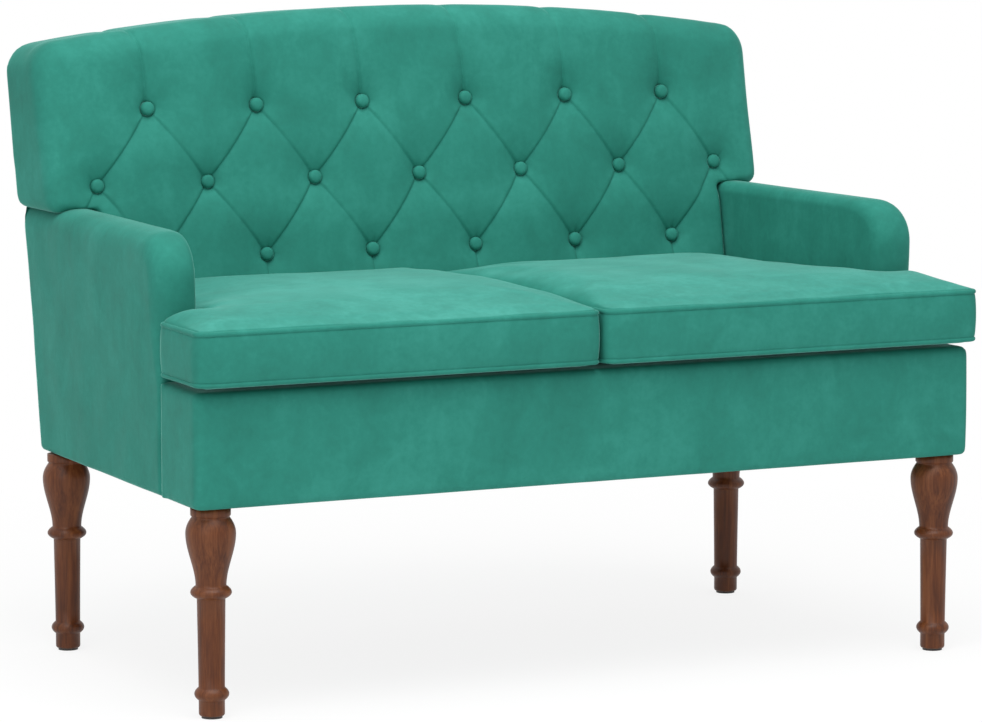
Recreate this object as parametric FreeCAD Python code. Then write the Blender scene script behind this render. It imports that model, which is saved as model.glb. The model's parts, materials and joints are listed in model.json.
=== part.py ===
import FreeCAD, Part
import math
import os
from FreeCAD import Vector

# A straight two-seat settee with a tufted back, low arms, two loose cushions and turned legs.
# X runs across it, +Y to its rear and +Z up. The origin is on the floor, at the middle of its box.
# Left and right are as seen from the front. Sizes are in millimetres and angles in degrees.

# Overall sizes
APRON_WIDTH = 1196.0          # across the front of the base
DEPTH = 750.0                 # front of the cushion welts to the rear of the back
HEIGHT = 910.0                # floor to the crest of the back
LEG_HEIGHT = 282.0            # floor to the underside of the base
ARM_HEIGHT = 640.0            # floor to the top of the arms
SIDE_TAPER = 3.3              # each side runs in towards the rear
BACK_LEAN = 9.0

# Clearances
FIT = 0.3                     # between a piece and the padding round it
HOLE_FIT = 0.2                # on the radius of a bolt hole
CUSHION_GAP = 4.0             # between a cushion and the arm or back beside it
BACK_GAP = 5.0                # between the back and each arm

# Turned legs
FOOT_RADIUS = 17.4
FOOT_CHAMFER = 2.0
FOOT_RING_RADIUS = 23.2
FOOT_RING_HEIGHT = 32.5       # its middle, above the floor
SHAFT_FOOT_RADIUS = 17.5
SHAFT_TOP_RADIUS = 19.0
COLLAR_RING_RADIUS = 27.6
COLLAR_RING_DROP = 113.5      # its middle, below the top of the leg
RING_HALF = 8.7
NECK_RADIUS = 20.5
BULB_RADIUS = 33.6
BULB_DROP = 35.0
GROOVE_RADIUS = 25.4
GROOVE_DROP = 13.5
GROOVE_WIDTH = 2.5
LEG_TOP_RADIUS = 26.9
FRONT_LEG_INSET = 35.0        # its axis, in from the front and from the side of the apron
REAR_LEG_INSET = 24.0         # its axis, in from the outer face of the arm
REAR_LEG_FORWARD = 43.0       # its axis, in front of the foot of the back
GLIDE_HEIGHT = 3.0
GLIDE_RADIUS = 14.0
GLIDE_PIN_RADIUS = 1.6
GLIDE_PIN_LENGTH = 14.0
LEG_BOLT_RADIUS = 4.0
LEG_BOLT_DEPTH = 38.0         # length of the bolt inside the leg
T_NUT_RADIUS = 9.0
T_NUT_FLANGE = 1.6
T_NUT_BARREL_RADIUS = 5.2
T_NUT_BARREL = 12.0

# Base
APRON_DEPTH = 136.0
APRON_HEIGHT = 156.0
APRON_PAD = 6.0
APRON_CORNER = 12.0
APRON_TOP_EDGE = 11.0
APRON_BOTTOM_EDGE = 9.0
DUST_COVER = 1.5
RAIL = 18.0                   # thickness of the front block's rails and boards
SIDE_RAIL = 22.0
REAR_RAIL = 25.0
TOP_BOARD = 12.0
STRETCHER = 25.0
STRETCHER_DROP = 30.0         # below the top of the rails, so that the webbing can sink
LEG_BLOCK_SIDE = 76.0
LEG_BLOCK_HEIGHT = 40.0
GUSSET_SIDE = 70.0
GUSSET_HEIGHT = 40.0
GUSSET_RAISE = 4.0            # above the underside of the rails
WEBBING_WIDTH = 50.0
WEBBING = 2.5
SEAT_STRAPS = 6               # front to rear
SEAT_STRAP_PITCH = 160.0
CROSS_STRAPS = 3
CROSS_STRAP_PITCH = 110.0

# Arms
ARM_THICKNESS = 60.0
ARM_PAD = 14.0
ARM_NOSE = 60.0               # radius of the front top corner
ARM_EDGE = 22.0               # radius along the front and top edges
ARM_PANEL = 4.0
ARM_POST = 45.0
ARM_RAIL = 40.0
ARM_BUTT_DROP = 8.0           # the flat front of the arm ends this far below the apron's top
ARM_BUTT_DEPTH = 60.0
ARM_BOLTS = 3
ARM_BOLT_CLEAR = 24.0         # between the first and last bolts and the corner gussets
ARM_BOLT_RAISE = 20.0
BOLT_RADIUS = 4.0
BOLT_HEAD_RADIUS = 7.0
BOLT_HEAD = 5.0
ARM_BOLT_COVER = 4.0          # timber left in the arm's bottom rail beyond the bolt

# Back
BACK_THICKNESS = 156.0        # at its middle, square to the rear plane
BACK_CROWN = 20.0             # how far the front falls back at the ears
EAR_INSET = 14.0              # each end of the head, in from the apron's side
TOP_ARCH = 46.0               # rise of the top from the ears to the middle
TOP_CORNER = 45.0
EAR_CORNER = 36.0
NOTCH_CORNER = 8.0
BACK_FRONT_EDGE = 28.0
BACK_REAR_EDGE = 10.0
BACK_WRAP = 16.0              # padding round the sides of the frame
OUTSIDE_PANEL = 4.0
BACK_FRAME = 40.0             # thickness of the back's timber
BACK_PADDING = 56.0           # cover and wadding in front of the foam
BACK_POST = 40.0
BACK_POST_SPACE = 2.5         # between a post and the padding beside it, at the top
TOP_RAIL = 55.0
BOTTOM_RAIL = 60.0
EAR_RAIL = 40.0
BACK_BOLT_RAISES = (50.0, 105.0)
BACK_BOLT_REACH = 30.0        # length of the bolt inside the post

# Tufting
BUTTON_PITCH = 166.4
BUTTON_COUNTS = (6, 7, 6)     # top row first
BUTTON_ROWS = (473.0, 366.0, 258.5)   # up the rear plane, from the foot of the back
BUTTON_RADIUS = 11.0
BUTTON_RIM = 2.5
BUTTON_DOME = 5.0
BUTTON_SHOULDER = 7.5         # radius where the dome flattens
BUTTON_SHOULDER_HEIGHT = 5.8
DIMPLE_DEPTH = 20.0
DIMPLE_RADIUS = 46.0
DIMPLE_FLAT = 11.5
PLEAT_DEPTH = 13.0
PLEAT_HALF_WIDTH = 34.0
EDGE_PLEAT_DEPTH = 8.0
EDGE_PLEAT_HALF_WIDTH = 22.0
EAR_PLEAT_RUN = (26.0, -40.0)  # from the last button of the middle row, across and up
PLEAT_FULLNESS = 0.16         # swell of each flank, as a share of its width
TOOL_RISE = 3.0               # how far a cutting form stands above the surface
TIE_RADIUS = 1.2
TIE_FIT = 0.4

# Seat cushions
WELT_RADIUS = 3.5
WELT_SIDES = 8
CUSHION_OVERHANG = 10.5       # in front of the apron
CUSHION_SIDE_OVERHANG = 2.0
CUSHION_REST = 9.0            # bottom welt above the deck
CUSHION_BOXING = 67.0         # between the welts
CUSHION_BULGE = 3.0           # at half the height of the boxing
BOXING_BANDS = 2
# rise of the crown above the top welt, at shares of the depth from the front
CUSHION_CROWNS = ((0.0, 3.0), (0.2, 22.5), (0.5, 30.0), (0.8, 27.0), (1.0, 15.0))
CROWN_AT_SIDES = 0.15         # share of the crown that is left at the cushion's sides
CUSHION_SPLIT = 2.4           # half the gap between the two cushions, at the boxing
CUSHION_FRONT_CORNER = 14.0
CUSHION_CORNER = 14.0
CUSHION_NOTCH = 10.0
CUSHION_COVER = 8.0           # cover and wadding round the foam
WELT_FIT = 0.25

# Reach of the forms that only cut or limit others
REACH = 1500.0
OVERCUT = 1.0                 # how far a cutting form runs past the face that it cuts

# Places that follow from the sizes above
TAPER = math.radians(SIDE_TAPER)
LEAN = math.radians(BACK_LEAN)
CUSHION_FRONT = -DEPTH / 2 + WELT_RADIUS
APRON_FRONT = CUSHION_FRONT + CUSHION_OVERHANG
APRON_REAR = APRON_FRONT + APRON_DEPTH
DECK_TOP = LEG_HEIGHT + APRON_HEIGHT
RAIL_BOTTOM = LEG_HEIGHT + DUST_COVER
RAIL_TOP = DECK_TOP - APRON_PAD - TOP_BOARD
DECK_BOTTOM = RAIL_TOP + 2 * WEBBING
BACK_RISE = HEIGHT - LEG_HEIGHT - BACK_REAR_EDGE
BACK_FOOT = DEPTH / 2 - BACK_RISE * math.tan(LEAN) - BACK_REAR_EDGE * (1 - 1 / math.cos(LEAN))
EAR_HALF_WIDTH = APRON_WIDTH / 2 - EAR_INSET
CROWN_RADIUS = (EAR_HALF_WIDTH ** 2 + BACK_CROWN ** 2) / (2 * BACK_CROWN)
FRAME_FRONT = OUTSIDE_PANEL + BACK_FRAME
FOAM_REAR = FRAME_FRONT + WEBBING
FOAM_FRONT = BACK_THICKNESS - BACK_PADDING
BASE_REAR = FRAME_FRONT + REAR_RAIL
ARM_FRONT = APRON_REAR + FIT + ARM_THICKNESS * math.sin(TAPER)
ARM_RISE = ARM_HEIGHT - LEG_HEIGHT
BOTTOM_WELT = DECK_TOP + CUSHION_REST
TOP_WELT = BOTTOM_WELT + CUSHION_BOXING

BACK_POST_OUTER = (
    APRON_WIDTH / 2 - (DEPTH / 2 - APRON_FRONT) * math.tan(TAPER) - ARM_THICKNESS / math.cos(TAPER)
    - BACK_GAP - BACK_WRAP - BACK_POST_SPACE
)

NODES = {}


def keep(name, *solids):
    NODES[name] = solids[0] if len(solids) == 1 else Part.makeCompound(list(solids))


def mirrored(shape):
    return shape.mirror(Vector(), Vector(1, 0, 0))


def keep_pair(name, shape):
    keep("right_" + name, shape)
    keep("left_" + name, mirrored(shape))


def side_x(y):
    """Half width over the base's outer sides."""
    return APRON_WIDTH / 2 - (y - APRON_FRONT) * math.tan(TAPER)


def inner_x(y):
    """Half width between the arms."""
    return side_x(y) - ARM_THICKNESS / math.cos(TAPER)


def line(start, end):
    return Part.LineSegment(start, end).toShape()


def arc(start, middle, end):
    return Part.Arc(start, middle, end).toShape()


def mid_point(edge):
    return edge.valueAt((edge.FirstParameter + edge.LastParameter) / 2)


def rounded(shape, radius, wanted):
    """Round the edges whose middle points are wanted."""
    return shape.makeFillet(radius, [edge for edge in shape.Edges if wanted(mid_point(edge))])


def outline(corners, place):
    """Closed wire through corners (u, v, radius), where place turns u and v into a point."""
    arrivals = []
    edges = []
    count = len(corners)
    for index in range(count):
        u, v, radius = corners[index]
        here = Vector(u, v, 0)
        back = Vector(*corners[index - 1][:2], 0) - here
        ahead = Vector(*corners[(index + 1) % count][:2], 0) - here
        back.normalize()
        ahead.normalize()
        if radius == 0:
            arrivals.append((here, here, here))
            continue
        half = back.getAngle(ahead) / 2
        bisector = back + ahead
        bisector.normalize()
        reach = radius / math.tan(half)
        depth = radius / math.sin(half) - radius
        arrivals.append((here + back * reach, here + bisector * depth, here + ahead * reach))
    for index in range(count):
        enter, middle, leave = [place(p.x, p.y) for p in arrivals[index]]
        following = place(*arrivals[(index + 1) % count][0][:2])
        if corners[index][2] > 0:
            edges.append(arc(enter, middle, leave))
        edges.append(line(leave, following))
    return Part.Wire(edges)


def on_level(z):
    return lambda u, v: Vector(u, v, z)


def prism(corners, bottom, top):
    """Upright prism on a plan outline."""
    return Part.Face(outline(corners, on_level(bottom))).extrude(Vector(0, 0, top - bottom))


def box(x0, x1, y0, y1, z0, z1):
    return Part.makeBox(x1 - x0, y1 - y0, z1 - z0, Vector(x0, y0, z0))


def band(z0, z1):
    return box(-REACH, REACH, -REACH, REACH, z0, z1)


def lean(shape):
    """Tilt a form that is built upright on the rear plane of the back, and put it in place."""
    shape.rotate(Vector(), Vector(1, 0, 0), -BACK_LEAN)
    shape.translate(Vector(0, BACK_FOOT, LEG_HEIGHT))
    return shape


def lean_slab(near, far):
    """Slab parallel to the rear plane, between two distances in front of it."""
    return lean(box(-REACH, REACH, -far, -near, -REACH, REACH))


def behind(distance):
    """Everything behind the plane that lies this distance in front of the rear plane."""
    return lean_slab(distance - REACH, distance)


def cylinder(radius, start, end):
    axis = end - start
    return Part.makeCylinder(radius, axis.Length, start, axis)


def bolt(seat, direction, length):
    """Pan head on its seat, and a shank that runs from the seat along direction."""
    head = cylinder(BOLT_HEAD_RADIUS, seat - direction * BOLT_HEAD, seat)
    return head.fuse(cylinder(BOLT_RADIUS, seat, seat + direction * length)).removeSplitter()


def bolt_hole(seat, direction, length):
    return cylinder(BOLT_RADIUS + HOLE_FIT, seat - direction * length, seat + direction * length)


def front_leg_place():
    y = APRON_FRONT + FRONT_LEG_INSET
    return Vector(side_x(y) - FRONT_LEG_INSET, y, 0)


def rear_leg_place():
    y = BACK_FOOT - REAR_LEG_FORWARD
    return Vector(side_x(y) - REAR_LEG_INSET, y, 0)


def leg_bolt_hole(place, top):
    axis_foot = Vector(place.x, place.y, LEG_HEIGHT - LEG_BOLT_DEPTH - 2 * HOLE_FIT)
    return cylinder(LEG_BOLT_RADIUS + HOLE_FIT, axis_foot, Vector(place.x, place.y, top))


def t_nut_bore(place, top):
    """Stepped bore that takes a T-nut, flush with the top of its rail or block."""
    seat = Vector(place.x, place.y, top - T_NUT_FLANGE)
    barrel_foot = seat - Vector(0, 0, T_NUT_BARREL + HOLE_FIT)
    barrel = cylinder(T_NUT_BARREL_RADIUS + HOLE_FIT, barrel_foot, Vector(place.x, place.y, top))
    return barrel.fuse(cylinder(T_NUT_RADIUS + HOLE_FIT, seat, Vector(place.x, place.y, top)))


def leg_profile():
    """Half section of a leg: foot, ring, tapered shaft, ring, neck, pear-shaped bulb and collar."""
    def at(radius, z):
        return Vector(radius, 0, z)

    ring_z = LEG_HEIGHT - COLLAR_RING_DROP
    bulb_z = LEG_HEIGHT - BULB_DROP
    groove_z = LEG_HEIGHT - GROOVE_DROP
    neck_z = ring_z + RING_HALF
    swell = BULB_RADIUS - NECK_RADIUS
    rise = bulb_z - neck_z
    sweep_radius = (rise ** 2 + swell ** 2) / (4 * swell)
    half_angle = math.atan2(swell, rise)
    out = sweep_radius * (1 - math.cos(half_angle))
    along = sweep_radius * math.sin(half_angle)
    shoulder = BULB_RADIUS - GROOVE_RADIUS
    shoulder_rise = groove_z - bulb_z
    shoulder_radius = (shoulder ** 2 + shoulder_rise ** 2) / (2 * shoulder)
    shoulder_angle = math.asin(shoulder_rise / shoulder_radius) / 2
    middle = at((NECK_RADIUS + BULB_RADIUS) / 2, (neck_z + bulb_z) / 2)

    foot = at(FOOT_RADIUS - FOOT_CHAMFER, GLIDE_HEIGHT)
    foot_edge = at(FOOT_RADIUS, GLIDE_HEIGHT + FOOT_CHAMFER)
    low_ring_start = at(FOOT_RADIUS, FOOT_RING_HEIGHT - RING_HALF)
    low_ring_end = at(SHAFT_FOOT_RADIUS, FOOT_RING_HEIGHT + RING_HALF)
    high_ring_start = at(SHAFT_TOP_RADIUS, ring_z - RING_HALF)
    neck = at(NECK_RADIUS, neck_z)
    bulb = at(BULB_RADIUS, bulb_z)
    groove = at(GROOVE_RADIUS, groove_z)
    collar = at(LEG_TOP_RADIUS, groove_z + GROOVE_WIDTH)
    top = at(LEG_TOP_RADIUS, LEG_HEIGHT)
    shoulder_middle = at(
        BULB_RADIUS - shoulder_radius * (1 - math.cos(shoulder_angle)),
        bulb_z + shoulder_radius * math.sin(shoulder_angle),
    )
    edges = [
        line(at(0, GLIDE_HEIGHT), foot),
        line(foot, foot_edge),
        line(foot_edge, low_ring_start),
        arc(low_ring_start, at(FOOT_RING_RADIUS, FOOT_RING_HEIGHT), low_ring_end),
        line(low_ring_end, high_ring_start),
        arc(high_ring_start, at(COLLAR_RING_RADIUS, ring_z), neck),
        arc(neck, at(NECK_RADIUS + out, neck_z + along), middle),
        arc(middle, at(BULB_RADIUS - out, bulb_z - along), bulb),
        arc(bulb, shoulder_middle, groove),
        line(groove, collar),
        line(collar, top),
        line(top, at(0, LEG_HEIGHT)),
        line(at(0, LEG_HEIGHT), at(0, GLIDE_HEIGHT)),
    ]
    return Part.Face(Part.Wire(edges))


def make_legs():
    leg = leg_profile().revolve(Vector(), Vector(0, 0, 1), 360)
    pin_hole = cylinder(
        GLIDE_PIN_RADIUS + HOLE_FIT, Vector(), Vector(0, 0, GLIDE_HEIGHT + GLIDE_PIN_LENGTH + HOLE_FIT)
    )
    leg = leg.cut([pin_hole, leg_bolt_hole(Vector(), LEG_HEIGHT + OVERCUT)])
    glide = cylinder(GLIDE_RADIUS, Vector(), Vector(0, 0, GLIDE_HEIGHT))
    pin = cylinder(GLIDE_PIN_RADIUS, Vector(), Vector(0, 0, GLIDE_HEIGHT + GLIDE_PIN_LENGTH))
    glide = glide.fuse(pin).removeSplitter()
    nut_tops = {"front": RAIL_BOTTOM + LEG_BLOCK_HEIGHT, "rear": LEG_HEIGHT + ARM_RAIL}
    places = {"front": front_leg_place(), "rear": rear_leg_place()}
    glides = []
    bolts = []
    nuts = []
    for end, place in places.items():
        right_leg = leg.translated(place)
        keep(end + "_legs", right_leg, mirrored(right_leg))
        bolt_foot = place + Vector(0, 0, LEG_HEIGHT - LEG_BOLT_DEPTH)
        bolt_top = place + Vector(0, 0, nut_tops[end])
        nut_seat = bolt_top - Vector(0, 0, T_NUT_FLANGE)
        shank = cylinder(LEG_BOLT_RADIUS, bolt_foot, bolt_top)
        nut = cylinder(T_NUT_RADIUS, nut_seat, bolt_top)
        nut = nut.fuse(cylinder(T_NUT_BARREL_RADIUS, nut_seat - Vector(0, 0, T_NUT_BARREL), nut_seat))
        nut = nut.cut(leg_bolt_hole(place, bolt_top.z + OVERCUT)).removeSplitter()
        for group, piece in ((glides, glide.translated(place)), (bolts, shank), (nuts, nut)):
            group.append(piece)
            group.append(mirrored(piece))
    keep("foot_glides", *glides)
    keep("leg_bolts", *bolts)
    keep("leg_t_nuts", *nuts)


def front_block(inset, bottom, top, rear=APRON_REAR):
    """The base's front block, drawn in by inset at its front and ends."""
    front = APRON_FRONT + inset
    slope_inset = inset / math.cos(TAPER)
    wide = side_x(front) - slope_inset
    narrow = side_x(rear) - slope_inset
    corner = APRON_CORNER - inset
    corners = [(-wide, front, corner), (wide, front, corner), (narrow, rear, 0), (-narrow, rear, 0)]
    return prism(corners, bottom, top)


def seat_plan(inset, bottom, top):
    """The space between the arms, behind the front block."""
    front = APRON_REAR
    rear = BACK_FOOT + DEPTH / 2
    slope_inset = inset / math.cos(TAPER)
    wide = inner_x(front) - slope_inset
    narrow = inner_x(rear) - slope_inset
    return prism([(-wide, front, 0), (wide, front, 0), (narrow, rear, 0), (-narrow, rear, 0)], bottom, top)


def make_apron():
    block = front_block(0, LEG_HEIGHT, DECK_TOP)
    for level, radius in ((DECK_TOP, APRON_TOP_EDGE), (LEG_HEIGHT, APRON_BOTTOM_EDGE)):
        block = rounded(block, radius, lambda p: abs(p.z - level) < FIT and p.y < APRON_REAR - FIT)
    hollow = front_block(APRON_PAD, LEG_HEIGHT - OVERCUT, DECK_TOP - APRON_PAD, APRON_REAR + OVERCUT)
    keep("apron_cover", block.cut(hollow))


def make_front_block():
    inside = front_block(APRON_PAD + FIT, RAIL_BOTTOM, RAIL_TOP)
    front = APRON_FRONT + APRON_PAD + FIT
    rear = APRON_REAR - RAIL
    keep("front_rail", inside.common(box(-REACH, REACH, front, front + RAIL, RAIL_BOTTOM, RAIL_TOP)))
    keep("inner_front_rail", inside.common(box(-REACH, REACH, rear, APRON_REAR, RAIL_BOTTOM, RAIL_TOP)))
    ends = inside.cut(prism_inside_ends()).common(box(0, REACH, front + RAIL, rear, RAIL_BOTTOM, RAIL_TOP))
    keep_pair("end_board", ends)
    top = front_block(APRON_PAD + FIT, RAIL_TOP, DECK_TOP - APRON_PAD - FIT, rear)
    keep("front_top_board", top)

    place = front_leg_place()
    block_top = RAIL_BOTTOM + LEG_BLOCK_HEIGHT
    block_front = front + RAIL
    block_rear = block_front + LEG_BLOCK_SIDE
    corner = box(place.x - LEG_BLOCK_SIDE / 2, REACH, block_front, block_rear, RAIL_BOTTOM, block_top)
    block = corner.common(prism_inside_ends())
    block = block.cut([leg_bolt_hole(place, block_top + OVERCUT), t_nut_bore(place, block_top)])
    keep("leg_blocks", block, mirrored(block))


def prism_inside_ends():
    """The room inside the front block, between its two end boards."""
    inset = (APRON_PAD + FIT + RAIL) / math.cos(TAPER)
    front = APRON_FRONT
    rear = APRON_REAR
    wide = side_x(front) - inset
    narrow = side_x(rear) - inset
    corners = [(-wide, front, 0), (wide, front, 0), (narrow, rear, 0), (-narrow, rear, 0)]
    return prism(corners, RAIL_BOTTOM, RAIL_TOP)


def place_beside_arm(shape):
    """Put a form that is built along the right arm's outer face in place."""
    shape.rotate(Vector(), Vector(0, 0, 1), SIDE_TAPER)
    shape.translate(Vector(side_x(ARM_FRONT), ARM_FRONT, LEG_HEIGHT))
    return shape


def rear_gusset_y():
    """Where the top of the rear gussets meets the rear rail."""
    gusset_top = RAIL_BOTTOM + GUSSET_RAISE + GUSSET_HEIGHT - LEG_HEIGHT
    return BACK_FOOT + gusset_top * math.tan(LEAN) - BASE_REAR / math.cos(LEAN)


def arm_bolt_seats():
    """Where the right arm's bolts seat on its side rail, in the arm's own directions."""
    inside = -ARM_THICKNESS - SIDE_RAIL
    first = APRON_REAR + GUSSET_SIDE + ARM_BOLT_CLEAR - ARM_FRONT
    last = rear_gusset_y() - GUSSET_SIDE - ARM_BOLT_CLEAR - ARM_FRONT
    pitch = (last - first) / (ARM_BOLTS - 1)
    return [Vector(inside, first + pitch * n, ARM_BOLT_RAISE) for n in range(ARM_BOLTS)]


def arm_bolt_length():
    """From the side rail's inner face to just short of the arm's outer panel."""
    return SIDE_RAIL + ARM_THICKNESS - ARM_PAD - ARM_PANEL - ARM_BOLT_COVER


def drilled_for_arm_bolts(shape):
    holes = [
        place_beside_arm(bolt_hole(seat, Vector(1, 0, 0), arm_bolt_length() + HOLE_FIT))
        for seat in arm_bolt_seats()
    ]
    return shape.cut(holes)


def make_seat_box():
    plan = seat_plan(FIT, RAIL_BOTTOM, RAIL_TOP)
    rail = box(-ARM_THICKNESS - SIDE_RAIL, -ARM_THICKNESS, -REACH, REACH, DUST_COVER, RAIL_TOP - LEG_HEIGHT)
    rail = place_beside_arm(rail).common(plan).cut(behind(BASE_REAR))
    keep_pair("side_rail", drilled_for_arm_bolts(rail))

    rear_rail = lean_slab(FRAME_FRONT, BASE_REAR).common(plan)
    rear_rail = rear_rail.cut(back_bolt_holes())
    keep("rear_rail", rear_rail)

    stretcher_top = RAIL_TOP - STRETCHER_DROP
    stretcher = box(-STRETCHER / 2, STRETCHER / 2, APRON_REAR, REACH, RAIL_BOTTOM, stretcher_top)
    keep("centre_stretcher", stretcher.cut(behind(BASE_REAR)))

    low = RAIL_BOTTOM + GUSSET_RAISE
    room = seat_plan(SIDE_RAIL, low, low + GUSSET_HEIGHT).cut(behind(BASE_REAR))
    front_x = inner_x(APRON_REAR) - SIDE_RAIL / math.cos(TAPER)
    rear_y = rear_gusset_y()
    rear_x = inner_x(rear_y) - SIDE_RAIL / math.cos(TAPER)
    reach = GUSSET_SIDE
    gussets = []
    for x, y, turn in ((front_x, APRON_REAR, 1), (rear_x, rear_y, -1)):
        corners = [
            (x - reach, y, 0),
            (x, y + turn * reach, 0),
            (x + reach, y + turn * reach, 0),
            (x + reach, y - turn * reach, 0),
            (x - reach, y - turn * reach, 0),
        ]
        wedge = prism(corners, low, low + GUSSET_HEIGHT)
        piece = wedge.common(room)
        gussets.extend([piece, mirrored(piece)])
    keep("corner_gussets", *gussets)


def make_seat_support():
    plan = seat_plan(FIT, RAIL_TOP, DECK_TOP)
    rear_limit = behind(FRAME_FRONT)
    straps = []
    for index in range(SEAT_STRAPS):
        x = (index - (SEAT_STRAPS - 1) / 2) * SEAT_STRAP_PITCH
        left = x - WEBBING_WIDTH / 2
        strap = box(left, left + WEBBING_WIDTH, APRON_REAR - RAIL, REACH, RAIL_TOP, RAIL_TOP + WEBBING)
        straps.append(strap.cut(rear_limit))
    for index in range(CROSS_STRAPS):
        y = (index - (CROSS_STRAPS - 1) / 2) * CROSS_STRAP_PITCH
        front = y - WEBBING_WIDTH / 2
        strap = box(-REACH, REACH, front, front + WEBBING_WIDTH, RAIL_TOP + WEBBING, DECK_BOTTOM)
        straps.append(strap.common(plan))
    keep("seat_webbing", *straps)
    keep("seat_deck", plan.common(band(DECK_BOTTOM, DECK_TOP)).cut(rear_limit))

    place = front_leg_place()
    hole = leg_bolt_hole(place, RAIL_BOTTOM + OVERCUT)
    sheet = front_block(APRON_PAD + FIT, LEG_HEIGHT, RAIL_BOTTOM, APRON_REAR)
    rear_sheet = seat_plan(FIT, LEG_HEIGHT, RAIL_BOTTOM).cut(behind(OUTSIDE_PANEL))
    sheet = sheet.fuse(rear_sheet).removeSplitter()
    keep("dust_cover", sheet.cut([hole, mirrored(hole)]))


def arm_form(inset, outer, inner):
    """Arm panel drawn in by inset at its front and top, between two distances from its outer face."""
    top = ARM_RISE - inset
    corners = [(inset, 0, 0), (REACH, 0, 0), (REACH, top, 0), (inset, top, ARM_NOSE - inset)]
    wire = outline(corners, lambda y, z: Vector(-outer, y, z))
    return Part.Face(wire).extrude(Vector(outer - inner, 0, 0))


def make_arms():
    panel = arm_form(0, 0, ARM_THICKNESS)

    def on_edge(point):
        on_side = min(abs(point.x), abs(point.x + ARM_THICKNESS)) < FIT
        return on_side and point.z > FIT and point.y < REACH - FIT

    panel = rounded(panel, ARM_EDGE, on_edge)
    butt = box(-ARM_THICKNESS, 0, 0, ARM_BUTT_DEPTH, 0, APRON_HEIGHT - ARM_BUTT_DROP)
    cover = place_beside_arm(panel.fuse(butt).removeSplitter()).cut(behind(0))

    place = rear_leg_place()
    rail_top = LEG_HEIGHT + ARM_RAIL
    nut_bore = t_nut_bore(place, rail_top)
    hollow = place_beside_arm(arm_form(ARM_PAD, ARM_PAD, ARM_THICKNESS - ARM_PAD)).cut(behind(ARM_PAD))
    cover = drilled_for_arm_bolts(cover.cut(hollow)).cut(nut_bore)
    keep_pair("arm_cover", cover)

    drawn_in = ARM_PAD + FIT
    outer_panel = arm_form(drawn_in, ARM_PAD, ARM_PAD + ARM_PANEL)
    inner_panel = arm_form(drawn_in, ARM_THICKNESS - ARM_PAD - ARM_PANEL, ARM_THICKNESS - ARM_PAD)
    rear_limit = behind(drawn_in)
    outer_panel = place_beside_arm(outer_panel).cut([rear_limit, nut_bore])
    inner_panel = drilled_for_arm_bolts(place_beside_arm(inner_panel).cut([rear_limit, nut_bore]))
    for name, pieces in (("right", (outer_panel, inner_panel)),
                         ("left", (mirrored(outer_panel), mirrored(inner_panel)))):
        keep(name + "_arm_panels", *pieces)

    core = arm_form(drawn_in, ARM_PAD + ARM_PANEL, ARM_THICKNESS - ARM_PAD - ARM_PANEL)
    core = place_beside_arm(core).cut(rear_limit)
    rail_under = ARM_HEIGHT - drawn_in - ARM_RAIL
    bottom_rail = drilled_for_arm_bolts(core.common(band(LEG_HEIGHT, rail_top)))
    bottom_rail = bottom_rail.cut([leg_bolt_hole(place, rail_top + OVERCUT), nut_bore])
    keep_pair("arm_bottom_rail", bottom_rail)
    keep_pair("arm_top_rail", core.common(band(rail_under, ARM_HEIGHT)))
    between = core.common(band(rail_top, rail_under))
    front_limit = box(-REACH, REACH, -REACH, drawn_in + ARM_POST, -REACH, REACH)
    keep_pair("arm_front_post", between.common(place_beside_arm(front_limit)))
    keep_pair("arm_rear_post", between.common(lean_slab(drawn_in, drawn_in + ARM_POST)))

    bolts = []
    for seat in arm_bolt_seats():
        piece = place_beside_arm(bolt(seat, Vector(1, 0, 0), arm_bolt_length()))
        bolts.extend([piece, mirrored(piece)])
    keep("arm_bolts", *bolts)


def back_bolt_seats():
    x = BACK_POST_OUTER - BACK_POST / 2
    return [Vector(x, -BASE_REAR, raise_) for raise_ in BACK_BOLT_RAISES]


def back_bolt_holes():
    length = REAR_RAIL + BACK_BOLT_REACH + HOLE_FIT
    holes = [lean(bolt_hole(seat, Vector(0, 1, 0), length)) for seat in back_bolt_seats()]
    return holes + [mirrored(hole) for hole in holes]


def crest(x):
    """Distance of the back's front, between its tufts, from the rear plane."""
    return BACK_THICKNESS - CROWN_RADIUS + math.sqrt(CROWN_RADIUS ** 2 - x ** 2)


def crowned_slab():
    """Everything between the rear plane and the crowned front of the back."""
    wide = EAR_HALF_WIDTH + BACK_WRAP
    low = -REACH
    edge_left = Vector(-wide, -crest(wide), low)
    edge_right = Vector(wide, -crest(wide), low)
    rear_left = Vector(-wide, 0, low)
    rear_right = Vector(wide, 0, low)
    edges = [
        line(rear_left, rear_right),
        line(rear_right, edge_right),
        arc(edge_right, Vector(0, -crest(0), low), edge_left),
        line(edge_left, rear_left),
    ]
    return lean(Part.Face(Part.Wire(edges)).extrude(Vector(0, 0, 2 * REACH)))


def back_head(inset):
    """The wide upper part of the back, seen from the front, drawn in by inset."""
    half = EAR_HALF_WIDTH - inset
    low = ARM_HEIGHT + FIT + inset
    high = HEIGHT - inset
    shoulder = high - TOP_ARCH
    y = -REACH
    places = [(-half, low), (half, low), (half, shoulder), (-half, shoulder)]
    points = [Vector(x, y, z) for x, z in places]
    edges = [
        line(points[0], points[1]),
        line(points[1], points[2]),
        arc(points[2], Vector(0, y, high), points[3]),
        line(points[3], points[0]),
    ]
    head = Part.Face(Part.Wire(edges)).extrude(Vector(0, 2 * REACH, 0))
    head = rounded(head, TOP_CORNER - inset, lambda p: abs(p.y) < FIT and p.z > low + FIT)

    def at_ear(point):
        return abs(point.y) < FIT and abs(point.z - low) < FIT and abs(abs(point.x) - half) < FIT

    return rounded(head, EAR_CORNER - inset, at_ear)


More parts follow.
